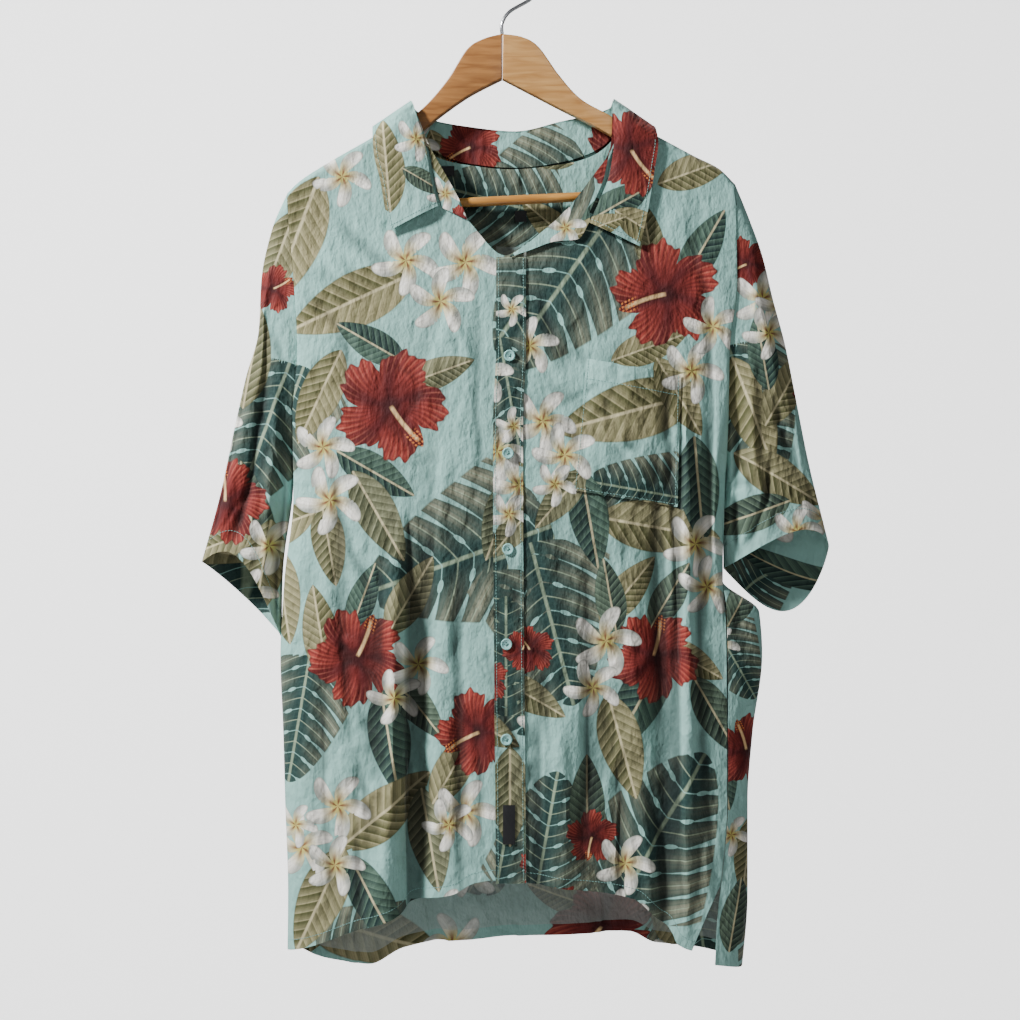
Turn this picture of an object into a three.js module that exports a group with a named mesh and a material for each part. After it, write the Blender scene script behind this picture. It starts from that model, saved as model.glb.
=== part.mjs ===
// A short-sleeved aloha shirt on a flat wooden suit hanger.
// Millimetres: +X is the viewer's right, -Y the front, +Z up.
// The origin is the seat inside the hook, where a rail carries the hanger.
import * as THREE from 'three';

// ---- cloth ----
const CLOTH = 1.2;
const GAP = 0.3;
const LAY = 0.5;
const SEAM_STEP = 0.0015;
const MIDDLE_GAP = 0.7;
const NORMAL_STEP = 1e-4;

// ---- hanger ----
const ARM_HALF = 6;
const ARM_BEVEL = 2;
const ARM_DROP = 6.6;
const BAR_RADIUS = 4.8;
const WIRE_RADIUS = 1.8;
const HOOK_RADIUS = 22;
const APEX = { x: -8, z: -70 };

// ---- body ----
const OVER_ARM = 9;
const OVER_ARM_ROUND = 7;
const OPENING_REACH = 110;
const CORNER = 0.8;
const CORNER_X = Math.SQRT1_2 ** 0.5;
const ARMHOLE_DEPTH = 16;
const SHOULDER_Z = -221;
const UNDERARM_Z = -514;
const LEVEL_TOP = -310;
const LEVEL_FOOT = -900;
const LEVEL_SHARE = { top: 0.2, foot: 0.9 };
const TOP_ROWS = [0, 0.005, 0.02, 0.06, 0.18, 0.4, 0.7];
const LEVEL_ROWS = 17;
const HEM_ROWS = 3;
const PLACKET_HALF = 15;

// Side outlines and half-depth at each height.
const BODY = [
  { z: -150, left: -226, right: 228, depth: 9 },
  { z: -231, left: -226, right: 229, depth: 12 },
  { z: -320, left: -219, right: 230, depth: 21 },
  { z: -394, left: -215, right: 222, depth: 26 },
  { z: -460, left: -220, right: 221, depth: 29 },
  { z: -540, left: -220, right: 218, depth: 32 },
  { z: -624, left: -229, right: 215, depth: 34 },
  { z: -657, left: -231, right: 253, depth: 36 },
  { z: -700, left: -233, right: 256, depth: 37 },
  { z: -780, left: -230, right: 246, depth: 39 },
  { z: -850, left: -228, right: 241, depth: 41 },
  { z: -940, left: -225, right: 241, depth: 43 },
  { z: -1030, left: -226, right: 234, depth: 44 },
];

// The right side seam, which has turned round to the front below the sleeve.
const SEAM = [
  { z: -624, x: 215 },
  { z: -668, x: 217 },
  { z: -850, x: 218 },
  { z: -918, x: 212 },
  { z: -957, x: 207 },
  { z: -1010, x: 204 },
];

// Below the seam the front's edge slants away from the back's, so a vent opens.
const VENT_TOP = -930;
const VENT_SLANT = 0.36;

// Shoulder line over the hanger, carried on across the neck.
const SHOULDER = [
  { x: -226, z: -231 },
  { x: -215, z: -220 },
  { x: -179, z: -197 },
  { x: -139, z: -174 },
  { x: -104, z: -151 },
  { x: 0, z: -85 },
  { x: 112, z: -154 },
  { x: 147, z: -172 },
  { x: 188, z: -194 },
  { x: 212, z: -206 },
  { x: 229, z: -222 },
];

// Upper edges between the two neck points; outside them the shoulder line goes on.
const NECK = { left: -104, right: 112 };
const FRONT_NECK = [
  { x: -104, z: -151 },
  { x: -102, z: -160 },
  { x: -92, z: -175 },
  { x: -78, z: -196 },
  { x: -62, z: -222 },
  { x: -45, z: -256 },
  { x: -38, z: -266 },
  { x: -5, z: -297 },
  { x: 14, z: -286 },
  { x: 52, z: -258 },
  { x: 60, z: -249 },
  { x: 81, z: -221 },
  { x: 97, z: -202 },
  { x: 104, z: -186 },
  { x: 110, z: -163 },
  { x: 112, z: -154 },
];
const BACK_NECK = [
  { x: -104, z: -151 },
  { x: -102, z: -160 },
  { x: -94, z: -176 },
  { x: -75, z: -193 },
  { x: -41, z: -201 },
  { x: 0, z: -205 },
  { x: 59, z: -199 },
  { x: 85, z: -191 },
  { x: 104, z: -176 },
  { x: 110, z: -163 },
  { x: 112, z: -154 },
];

// Lower edges: the front is short with dropped tails, the back is long.
const FRONT_HEM = [
  { x: -226, z: -998 },
  { x: -200, z: -991 },
  { x: -153, z: -973 },
  { x: -110, z: -957 },
  { x: -98, z: -945 },
  { x: -58, z: -938 },
  { x: -35, z: -926 },
  { x: -14, z: -923 },
  { x: 55, z: -931 },
  { x: 123, z: -942 },
  { x: 147, z: -962 },
  { x: 158, z: -970 },
  { x: 168, z: -988 },
  { x: 184, z: -994 },
  { x: 218, z: -996 },
];
const BACK_HEM = [
  { x: -226, z: -1000 },
  { x: -194, z: -1018 },
  { x: -147, z: -1027 },
  { x: -111, z: -1010 },
  { x: -51, z: -1001 },
  { x: 0, z: -997 },
  { x: 82, z: -996 },
  { x: 125, z: -992 },
  { x: 151, z: -1003 },
  { x: 204, z: -1009 },
  { x: 232, z: -1014 },
];

// Largest folds: a line down the cloth, its reach to each side and its height.
const FRONT_FOLDS = [
  { x: -104, low: -122, top: -540, foot: -960, reach: 16, rise: 9 },
  { x: -88, low: -92, top: -540, foot: -960, reach: 13, rise: -7 },
  { x: -180, low: -160, top: -560, foot: -800, reach: 18, rise: 4 },
  { x: -150, low: -138, top: -820, foot: -1000, reach: 20, rise: 6 },
  { x: 166, low: 180, top: -440, foot: -880, reach: 15, rise: 8 },
  { x: 146, low: 156, top: -470, foot: -930, reach: 14, rise: -6 },
  { x: 40, low: 52, top: -740, foot: -935, reach: 16, rise: 5 },
  { x: 96, low: 92, top: -700, foot: -945, reach: 18, rise: -4 },
  { x: -60, low: -40, top: -330, foot: -560, reach: 22, rise: 3 },
];
const BACK_FOLDS = [
  { x: -70, low: -84, top: -420, foot: -1010, reach: 24, rise: 8 },
  { x: -20, low: -34, top: -560, foot: -1000, reach: 22, rise: -6 },
  { x: 74, low: 90, top: -400, foot: -1000, reach: 24, rise: 9 },
  { x: 128, low: 140, top: -620, foot: -1000, reach: 20, rise: -6 },
  { x: -150, low: -166, top: -600, foot: -1020, reach: 20, rise: 6 },
  { x: 172, low: 186, top: -560, foot: -1000, reach: 20, rise: 6 },
];

// Sleeves: outer line from shoulder to hem. Drop moves the hem of each half up or down,
// and a skew under 1 brings the most of that nearer to the outer side.
const SLEEVES = {
  left: {
    sign: -1,
    hem: { x: -233.5, z: -683 },
    drop: { front: 42, back: 2 },
    skew: { front: 1, back: 1 },
    outer: [
      { t: 0, x: -226, z: -231 },
      { t: 0.1, x: -242, z: -268 },
      { t: 0.22, x: -253, z: -318 },
      { t: 0.36, x: -256, z: -371 },
      { t: 0.5, x: -269, z: -419 },
      { t: 0.64, x: -280, z: -468 },
      { t: 0.8, x: -295, z: -538 },
      { t: 1, x: -314, z: -607 },
    ],
  },
  right: {
    sign: 1,
    hem: { x: 219, z: -613 },
    drop: { front: 24, back: -58 },
    skew: { front: 0.6, back: 0.7 },
    outer: [
      { t: 0, x: 229, z: -222 },
      { t: 0.1, x: 243, z: -256 },
      { t: 0.22, x: 257, z: -295 },
      { t: 0.36, x: 268, z: -340 },
      { t: 0.5, x: 280, z: -385 },
      { t: 0.64, x: 291, z: -440 },
      { t: 0.8, x: 304, z: -506 },
      { t: 1, x: 325, z: -592 },
    ],
  },
};
const SLEEVE_DEPTH = 20;

// Collar ribs from the left point round the back to the right point.
// side: -1 lies on the front, 0 crosses the shoulder, 1 lies on the back.
const COLLAR = [
  { k: 0, side: -1, rollX: -73, rollZ: -247, edgeX: -122, edgeZ: -272, footX: -43, footZ: -261 },
  { k: 1, side: -1, rollX: -80, rollZ: -219, edgeX: -126, edgeZ: -252, footX: -50, footZ: -243 },
  { k: 2, side: -1, rollX: -85, rollZ: -189, edgeX: -131, edgeZ: -222, footX: -66, footZ: -213 },
  { k: 3, side: -1, rollX: -93, rollZ: -160, edgeX: -138, edgeZ: -192, footX: -90, footZ: -174 },
  { k: 3.5, side: -1, rollX: -98, rollZ: -143, edgeX: -139, edgeZ: -177, footX: -104, footZ: -153 },
  { k: 4, side: 0, rollX: -101, rollZ: -137, edgeX: -140, edgeZ: -163, footX: -103.5, footZ: -148 },
  { k: 4.5, side: 1, rollX: -98, rollZ: -142, edgeX: -137, edgeZ: -178, footX: -104, footZ: -153 },
  { k: 5, side: 1, rollX: -84, rollZ: -152, edgeX: -116, edgeZ: -197, footX: -90, footZ: -177 },
  { k: 6, side: 1, rollX: -45, rollZ: -160, edgeX: -60, edgeZ: -212, footX: -46, footZ: -198 },
  { k: 7, side: 1, rollX: 5, rollZ: -165, edgeX: 5, edgeZ: -219, footX: 5, footZ: -203 },
  { k: 8, side: 1, rollX: 52, rollZ: -155, edgeX: 68, edgeZ: -210, footX: 54, footZ: -197 },
  { k: 9, side: 1, rollX: 88, rollZ: -147, edgeX: 122, edgeZ: -197, footX: 95, footZ: -181 },
  { k: 9.5, side: 1, rollX: 103, rollZ: -141, edgeX: 143, edgeZ: -182, footX: 112, footZ: -157 },
  { k: 10, side: 0, rollX: 106, rollZ: -135, edgeX: 147, edgeZ: -163, footX: 110, footZ: -150 },
  { k: 10.5, side: -1, rollX: 104, rollZ: -146, edgeX: 150, edgeZ: -182, footX: 112, footZ: -157 },
  { k: 11, side: -1, rollX: 105, rollZ: -176, edgeX: 147, edgeZ: -205, footX: 103, footZ: -188 },
  { k: 12, side: -1, rollX: 101, rollZ: -212, edgeX: 142, edgeZ: -236, footX: 86, footZ: -213 },
  { k: 13, side: -1, rollX: 90, rollZ: -242, edgeX: 137, edgeZ: -263, footX: 68, footZ: -237 },
  { k: 14, side: -1, rollX: 80, rollZ: -264, edgeX: 131, edgeZ: -288, footX: 58, footZ: -250 },
];
const LEAF_LIFT = 5.6;
const STAND_LIFT = 2.2;
const ROLL_GAP = 2.6;
const COLLAR_HOLD = 8;
const STAND_TUCK = 0.975;

// Patch pocket on the right front, its four corners, and how far its mouth gapes.
const POCKET = {
  topInner: [77, -402],
  topOuter: [172, -419],
  footInner: [63, -534],
  footOuter: [168, -551],
  gape: 9,
};

// Buttons down the placket and the plain black tabs.
const BUTTON = { radius: 5.75, thick: 2.6, rim: 1.1, sink: 0.7 };
const BUTTONS = [
  { x: -0.5, z: -399 },
  { x: -2, z: -497 },
  { x: -2, z: -593 },
  { x: -3.5, z: -688 },
  { x: -3.5, z: -783 },
];
const TABS = [
  { name: 'hem_label', x: -1, z: -867.5, width: 12, height: 39, front: true },
  { name: 'size_tab', x: 11, z: -253, width: 12, height: 11, front: false },
  { name: 'neck_label', x: -63.5, z: -207, width: 13, height: 10, front: false },
];
const TAB_THICK = 0.8;

// Upper outline of the hanger between the arms, and its lower edge.
const ARM_TOP = {
  left: [[-8, -70], [-27, -75], [-44, -86], [-63, -116], [-84, -141]],
  right: [[-7.7, -70], [12, -73], [29, -83], [50, -112], [72, -136], [101, -152.5]],
};
const ARM_FOOT = {
  left: [[-196, -236], [-184, -255], [-170, -252], [-130, -204], [-86, -165.5], [-45, -135], [-8, -115.5]],
  right: [[197, -226], [188, -240], [174, -236], [140, -198], [100, -171.5], [45, -143], [-7.7, -115.5]],
};
const ARM_REACH = { left: -200, right: 202 };
const BAR = { left: [-159, -246.5], right: [162.5, -230.2] };

// ---- reading tables ----

// Value of a column at a place along the key column, through the rows without overshoot.
function read(rows, key, place, column) {
  const last = rows.length - 1;
  const way = Math.sign(rows[1][key] - rows[0][key]);
  if ((place - rows[0][key]) * way <= 0) return rows[0][column];
  if ((place - rows[last][key]) * way >= 0) return rows[last][column];
  let i = 0;
  while ((place - rows[i + 1][key]) * way > 0) i += 1;
  const slope = (k) => (rows[k + 1][column] - rows[k][column]) / (rows[k + 1][key] - rows[k][key]);
  const tangent = (k) => {
    if (k === 0 || k === last) return slope(Math.min(k, last - 1));
    const before = slope(k - 1);
    const after = slope(k);
    return before * after <= 0 ? 0 : (2 * before * after) / (before + after);
  };
  const width = rows[i + 1][key] - rows[i][key];
  const t = (place - rows[i][key]) / width;
  const rise = 3 * t * t - 2 * t * t * t;
  const blend = rows[i][column] + rise * (rows[i + 1][column] - rows[i][column]);
  const bow = t * (1 - t) * ((1 - t) * tangent(i) - t * tangent(i + 1));
  return blend + width * bow;
}

const lerp = THREE.MathUtils.lerp;
const clamp = THREE.MathUtils.clamp;
const smooth = (t) => THREE.MathUtils.smoothstep(t, 0, 1);

// ---- body surface ----

// Flat-fronted section: s runs -1..1 across, and the last part rounds the corner.
function corner(s) {
  const size = Math.abs(s);
  const way = Math.sign(s);
  if (size <= CORNER) {
    const u = (CORNER_X * size) / CORNER;
    return { u: way * u, crown: (1 - u ** 4) ** 0.25 };
  }
  const turn = (Math.PI / 4) * (1 + (size - CORNER) / (1 - CORNER));
  const radius = (Math.sin(turn) ** 4 + Math.abs(Math.cos(turn)) ** 4) ** -0.25;
  return { u: way * radius * Math.sin(turn), crown: radius * Math.max(0, Math.cos(turn)) };
}

// The s of a place u across the section.
function across(u) {
  const size = Math.min(1, Math.abs(u));
  if (size <= CORNER_X) return (u * CORNER) / CORNER_X;
  const turn = Math.atan2(size, (1 - size ** 4) ** 0.25);
  return Math.sign(u) * (CORNER + (1 - CORNER) * (turn / (Math.PI / 4) - 1));
}

function armholeDepth(z) {
  const t = clamp((SHOULDER_Z - z) / (SHOULDER_Z - UNDERARM_Z), 0, 1);
  return ARMHOLE_DEPTH * Math.sqrt(4 * t * (1 - t));
}

// How far the cloth stands out from the middle plane.
function standOut(x, z, crown, lift = 0) {
  const edge = armholeDepth(z);
  const full = edge + (read(BODY, 'z', z, 'depth') - edge) * crown;
  const below = read(SHOULDER, 'x', x, 'z') - z;
  const near = clamp((below + lift) / (OVER_ARM_ROUND + lift), 0, 1);
  const rounded = Math.sqrt(1 - (1 - near) ** 2);
  const opened = 1 - Math.exp(-Math.max(0, below) / OPENING_REACH);
  return (Math.min(OVER_ARM, full) + lift) * rounded + Math.max(0, full - OVER_ARM) * opened;
}

function foldRise(folds, x, z) {
  let rise = 0;
  for (const fold of folds) {
    const along = (fold.top - z) / (fold.top - fold.foot);
    const line = lerp(fold.x, fold.low, clamp(along, 0, 1));
    const fade = smooth(clamp(along * 3, 0, 1)) * smooth(clamp((1.25 - along) * 4, 0, 1));
    rise += fold.rise * fade * Math.exp(-(((x - line) / fold.reach) ** 2));
  }
  return rise;
}

// A point of the body: s from -1 (left) over the front to 1 (right) and over the back to 3.
function bodyPoint(s, z, isBack) {
  const left = read(BODY, 'z', z, 'left');
  const right = read(BODY, 'z', z, 'right');
  const onBack = s > 1 || (isBack && s === 1);
  const { u, crown } = corner(onBack ? 2 - s : s);
  const x = (left + right) / 2 + ((right - left) / 2) * u;
  const fold = foldRise(onBack ? BACK_FOLDS : FRONT_FOLDS, x, z) * crown;
  const out = standOut(x, z, crown) + fold * smooth(clamp(crown * 2, 0, 1)) + MIDDLE_GAP;
  return new THREE.Vector3(x, onBack ? out : -out, z);
}

// A point lying on the front or back at a place (x, z), lifted off the cloth.
function onBody(x, z, side, lift) {
  const left = read(BODY, 'z', z, 'left');
  const right = read(BODY, 'z', z, 'right');
  const u = clamp((2 * x - left - right) / (right - left), -1, 1);
  const { crown } = corner(across(u));
  const folds = side > 0 ? BACK_FOLDS : FRONT_FOLDS;
  const fold = foldRise(folds, x, z) * crown * smooth(clamp(crown * 2, 0, 1));
  return new THREE.Vector3(x, side * (standOut(x, z, crown, lift) + fold + MIDDLE_GAP), z);
}

function topEdge(x, neck) {
  const inNeck = x > NECK.left && x < NECK.right;
  return inNeck ? read(neck, 'x', x, 'z') : read(SHOULDER, 'x', x, 'z');
}

// ---- closed walls ----

// A closed wall: surface(u, v) is its outer face, and the inner face lies one thickness in.
function wall(surface, uPlaces, vPlaces, options = {}) {
  const { loop = false, flip = false, thick = CLOTH, squareStart = false } = options;
  const columns = uPlaces.length;
  const rows = vPlaces.length;
  const points = [];
  const inner = [];
  for (const v of vPlaces) {
    for (const u of uPlaces) {
      const point = surface(u, v);
      const lowU = loop ? u - NORMAL_STEP : Math.max(0, u - NORMAL_STEP);
      const highU = loop ? u + NORMAL_STEP : Math.min(1, u + NORMAL_STEP);
      const lowV = Math.max(0, v - NORMAL_STEP);
      const highV = Math.min(1, v + NORMAL_STEP);
      const alongU = surface(highU, v).sub(surface(lowU, v)).normalize();
      const alongV = surface(u, highV).sub(surface(u, lowV)).normalize();
      const normal = alongU.cross(alongV);
      if (squareStart && v === 0) normal.x = 0;
      normal.normalize();
      points.push(point);
      inner.push(point.clone().addScaledVector(normal, flip ? thick : -thick));
    }
  }
  const total = points.length;
  const triangles = [];
  const edges = new Map();
  const face = (a, b, c) => {
    const [p, q] = flip ? [c, b] : [b, c];
    triangles.push(a, p, q);
    triangles.push(a + total, q + total, p + total);
    for (const [from, to] of [[a, p], [p, q], [q, a]]) edges.set(from * total + to, [from, to]);
  };
  const lastColumn = loop ? columns : columns - 1;
  for (let j = 0; j < rows - 1; j += 1) {
    for (let i = 0; i < lastColumn; i += 1) {
      const next = (i + 1) % columns;
      const a = j * columns + i;
      const b = j * columns + next;
      face(a, b, b + columns);
      face(a, b + columns, a + columns);
    }
  }
  for (const [from, to] of edges.values()) {
    if (!edges.has(to * total + from)) {
      triangles.push(to, from, from + total);
      triangles.push(to, from + total, to + total);
    }
  }
  const geometry = new THREE.BufferGeometry();
  geometry.setAttribute('position', new THREE.Float32BufferAttribute(
    [...points, ...inner].flatMap((p) => p.toArray()), 3));
  geometry.setIndex(triangles);
  geometry.computeVertexNormals();
  return geometry;
}

const steps = (count) => Array.from({ length: count + 1 }, (_, i) => i / count);

// ---- materials and meshes ----

const group = new THREE.Group();
const aqua = new THREE.MeshStandardMaterial({ color: 0x94bcb5, roughness: 0.8, metalness: 0 });
const wood = new THREE.MeshStandardMaterial({ color: 0xa8763c, roughness: 0.45, metalness: 0 });
const steel = new THREE.MeshStandardMaterial({ color: 0xb8bcc0, roughness: 0.25, metalness: 1 });
const shell = new THREE.MeshStandardMaterial({ color: 0x96cdc8, roughness: 0.3, metalness: 0 });
const black = new THREE.MeshStandardMaterial({ color: 0x101214, roughness: 0.7, metalness: 0 });

function add(name, geometry, material) {
  const mesh = new THREE.Mesh(geometry, material);
  mesh.name = name;
  group.add(mesh);
  return mesh;
}

// ---- body panels ----

// Height of a row: free above LEVEL_TOP and below LEVEL_FOOT, level between, so seams match.
function rowHeight(v, high, low) {
  const { top, foot } = LEVEL_SHARE;
  if (v < top) return lerp(high, LEVEL_TOP, v / top);
  if (v < foot) return lerp(LEVEL_TOP, LEVEL_FOOT, (v - top) / (foot - top));
  return lerp(LEVEL_FOOT, low, (v - foot) / (1 - foot));
}

const ROWS = [
  ...TOP_ROWS.map((share) => share * LEVEL_SHARE.top),
  ...steps(LEVEL_ROWS).map((t) => lerp(LEVEL_SHARE.top, LEVEL_SHARE.foot, t)),
  ...steps(HEM_ROWS).slice(1).map((t) => lerp(LEVEL_SHARE.foot, 1, t)),
];

// A panel between two lines of s, from its upper edge down to its hem.
// A column stands on each neck point, with the given number of columns between.
function panel(name, { from, to, neck, hem, points, columns, isBack = false }) {
  const placeAt = (u, z) => lerp(from(z), to(z), u);
  const settle = (u, edge) => {
    let z = -400;
    for (let i = 0; i < 12; i += 1) z = edge(bodyPoint(placeAt(u, z), z, isBack).x);
    return z;
  };
  const surface = (u, v) => {
    const high = settle(u, (x) => topEdge(x, neck));
    const low = settle(u, (x) => read(hem, 'x', x, 'z'));
    const z = rowHeight(v, high, low);
    return bodyPoint(placeAt(u, z), z, isBack);
  };
  const neckZ = SHOULDER[4].z;
  const knots = [0, ...points.map((x) => {
    const place = isBack ? 2 - placeOf(x, neckZ) : placeOf(x, neckZ);
    return (place - from(neckZ)) / (to(neckZ) - from(neckZ));
  }), 1];
  const places = columns.flatMap((count, i) =>
    steps(count).slice(i ? 1 : 0).map((t) => lerp(knots[i], knots[i + 1], t)));
  add(name, wall(surface, places, ROWS, { flip: true }), aqua);
}

const middleX = (z) => (read(BODY, 'z', z, 'left') + read(BODY, 'z', z, 'right')) / 2;
const halfX = (z) => (read(BODY, 'z', z, 'right') - read(BODY, 'z', z, 'left')) / 2;
const placeOf = (x, z) => across((x - middleX(z)) / halfX(z));
const placketX = (z) => read([{ z: -399, x: 1 }, { z: -470, x: -2 }, { z: -925, x: 1 }], 'z', z, 'x');

function seamPlace(z, shift) {
  const x = z > SEAM[0].z ? Infinity : read(SEAM, 'z', z, 'x');
  const vent = shift < 0 ? VENT_SLANT * Math.max(0, VENT_TOP - z) : 0;
  const u = (x - vent - middleX(z)) / halfX(z);
  return u >= 1 ? 1 : across(u) + shift;
}

panel('front_left', {
  from: () => -1,
  to: (z) => placeOf(placketX(z) + PLACKET_HALF - 2, z),
  neck: FRONT_NECK,
  hem: FRONT_HEM,
  points: [NECK.left, NECK.left + 2],
  columns: [6, 1, 8],
});
panel('front_right', {
  from: (z) => placeOf(placketX(z) + PLACKET_HALF + GAP, z),
  to: (z) => seamPlace(z, -SEAM_STEP),
  neck: FRONT_NECK,
  hem: FRONT_HEM,
  points: [NECK.right - 2, NECK.right],
  columns: [7, 1, 6],
});
panel('back', {
  from: (z) => seamPlace(z, SEAM_STEP),
  to: () => 3,
  neck: BACK_NECK,
  hem: BACK_HEM,
  points: [NECK.right, NECK.right - 2, NECK.left + 2, NECK.left],
  columns: [6, 1, 9, 1, 6],
  isBack: true,
});

// ---- sleeves ----

function sleeve(name, { sign, hem, drop, skew, outer }) {
  const side = sign < 0 ? 'left' : 'right';
  const tip = outer[0];
  const inner = (t) => {
    const z = lerp(UNDERARM_Z + 6, hem.z, t);
    const beside = read(BODY, 'z', z, side) + sign * 1.5;
    return { x: lerp(beside, hem.x, smooth(t)), z };
  };
  const surface = (u, v) => {
    const angle = 2 * Math.PI * u;
    const w = (1 - Math.cos(angle)) / 2;
    const half = Math.sin(angle);
    const top = { x: read(outer, 't', v, 'x'), z: read(outer, 't', v, 'z') };
    const foot = inner(v);
    const seamZ = lerp(tip.z, inner(0).z, w);
    const seamX = read(BODY, 'z', seamZ, side) + sign * GAP;
    const stay = (1 - Math.min(1, v * 3)) ** 2;
    const part = half < 0 ? 'front' : 'back';
    const fall = v * v * Math.sin(Math.PI * w ** skew[part]) * drop[part];
    const x = lerp(top.x, foot.x, w) + stay * (seamX - lerp(tip.x, inner(0).x, w));
    const z = lerp(top.z, foot.z, w) + fall;
    const atSeam = Math.sign(half) * standOut(seamX - sign, seamZ, 0);
    const open = half * lerp(ARMHOLE_DEPTH, SLEEVE_DEPTH, v);
    return new THREE.Vector3(x, lerp(open, atSeam, stay), z);
  };
  const around = steps(18).slice(0, -1);
  const options = { loop: true, flip: sign > 0, squareStart: true };
  add(name, wall(surface, around, steps(8), options), aqua);
}

sleeve('sleeve_left', SLEEVES.left);
sleeve('sleeve_right', SLEEVES.right);

// ---- collar ----

function collarRib(k) {
  const rib = {};
  for (const column of Object.keys(COLLAR[0])) rib[column] = read(COLLAR, 'k', k, column);
  return rib;
}

// Lies on the front where side is -1 and on the back where it is 1, and crosses between.
function laid(x, z, side, lift) {
  const reach = Math.abs(onBody(x, z, Math.sign(side) || 1, lift).y);
  return new THREE.Vector3(x, side * Math.max(reach, COLLAR_HOLD + lift), z);
}

function collarLeaf(u, v) {
  const rib = collarRib(u * COLLAR[COLLAR.length - 1].k);
  const x = lerp(rib.rollX, rib.edgeX, v);
  const bow = 5 * Math.sin(Math.PI * v);
  return laid(x, lerp(rib.rollZ, rib.edgeZ, v), rib.side, LEAF_LIFT + bow * (1 - v));
}

function collarStand(u, v) {
  const rib = collarRib(u * COLLAR[COLLAR.length - 1].k);
  const length = Math.hypot(rib.footX - rib.rollX, rib.footZ - rib.rollZ);
  const start = ROLL_GAP / length;
  const along = lerp(start, 1, v);
  const x = lerp(rib.rollX * STAND_TUCK, rib.footX, along);
  return laid(x, lerp(rib.rollZ, rib.footZ, along), rib.side, STAND_LIFT);
}

add('collar_leaf', wall(collarLeaf, steps(32), steps(3)), aqua);
add('collar_stand', wall(collarStand, steps(32), steps(2), { flip: true }), aqua);

// ---- what lies on the front ----

const PLACKET_TOP = -299;
const PLACKET_FOOT = -926;
function placket(u, v) {
  const z = lerp(PLACKET_TOP, PLACKET_FOOT, v);
  const x = placketX(z) + PLACKET_HALF * (2 * u - 1);
  return onBody(x, z, -1, CLOTH + LAY);
}
add('placket', wall(placket, steps(2), steps(22), { flip: true }), aqua);

function pocket(u, v) {
  const { topInner, topOuter, footInner, footOuter, gape } = POCKET;
  const x = lerp(lerp(topInner[0], topOuter[0], u), lerp(footInner[0], footOuter[0], u), v);
  const z = lerp(lerp(topInner[1], topOuter[1], u), lerp(footInner[1], footOuter[1], u), v);
  const bulge = gape * Math.sin(Math.PI * u) * (1 - v) ** 0.7;
  return onBody(x, z, -1, CLOTH + 2 * LAY + bulge);
}
add('pocket', wall(pocket, steps(7), steps(7), { flip: true }), aqua);

for (const tab of TABS) {
  const surface = (u, v) => {
    const x = tab.x + tab.width * (u - 0.5);
    const z = tab.z + tab.height * (0.5 - v);
    if (tab.front) return onBody(x, z, -1, 2 * (CLOTH + LAY) + TAB_THICK - CLOTH);
    return onBody(x, z, 1, -CLOTH - LAY);
  };
  add(tab.name, wall(surface, steps(2), steps(3), { flip: tab.front, thick: TAB_THICK }), black);
}

// A turned button: a disc with a raised rim round a dished middle.
function button(name, { x, z }) {
  const { radius, thick, rim, sink } = BUTTON;
  const outline = [
    [0, 0], [radius - 0.6, 0], [radius, 0.6], [radius, thick - 0.4],
    [radius - 0.5, thick], [radius - rim - 0.5, thick - sink], [0, thick - sink],
  ];
  const geometry = new THREE.LatheGeometry(outline.map(([r, h]) => new THREE.Vector2(r, h)), 14);
  const mesh = add(name, geometry, shell);
  mesh.rotation.z = Math.PI;
  mesh.position.copy(onBody(x, z, -1, CLOTH + LAY + GAP));
}
BUTTONS.forEach((place, i) => button(`button_${i + 1}`, place));

// ---- hanger ----

function arm(name, top, foot, reach, sign) {
  const inShoulder = SHOULDER.filter(({ x }) => x * sign > 100 && x * sign < Math.abs(reach));
  if (sign < 0) inShoulder.reverse();
  const shoulder = inShoulder.map(({ x, z }) => [x, z - ARM_DROP]);
  const end = [reach, read(SHOULDER, 'x', reach, 'z') - ARM_DROP - 3];
  const outline = new THREE.Shape();
  outline.moveTo(...top[0]);
  outline.splineThru([...top.slice(1), ...shoulder, end, ...foot].map((p) => new THREE.Vector2(...p)));
  outline.closePath();
  const geometry = new THREE.ExtrudeGeometry(outline, {
    depth: 2 * (ARM_HALF - ARM_BEVEL),
    bevelThickness: ARM_BEVEL,
    bevelSize: ARM_BEVEL,
    bevelOffset: -ARM_BEVEL,
    bevelSegments: 2,
    curveSegments: 3,
  });
  geometry.translate(0, 0, -(ARM_HALF - ARM_BEVEL));
  geometry.rotateX(Math.PI / 2);
  add(name, geometry, wood);
}
arm('hanger_arm_left', ARM_TOP.left, ARM_FOOT.left, ARM_REACH.left, -1);
arm('hanger_arm_right', ARM_TOP.right, ARM_FOOT.right, ARM_REACH.right, 1);

const barSpan = new THREE.Vector2(...BAR.right).sub(new THREE.Vector2(...BAR.left));
const bar = add('hanger_bar', new THREE.CylinderGeometry(BAR_RADIUS, BAR_RADIUS, barSpan.length(), 20), wood);
bar.rotation.y = -barSpan.angle();
bar.rotation.z = Math.PI / 2;
bar.rotation.order = 'YXZ';
bar.position.set((BAR.left[0] + BAR.right[0]) / 2, 0, (BAR.left[1] + BAR.right[1]) / 2);

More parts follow.
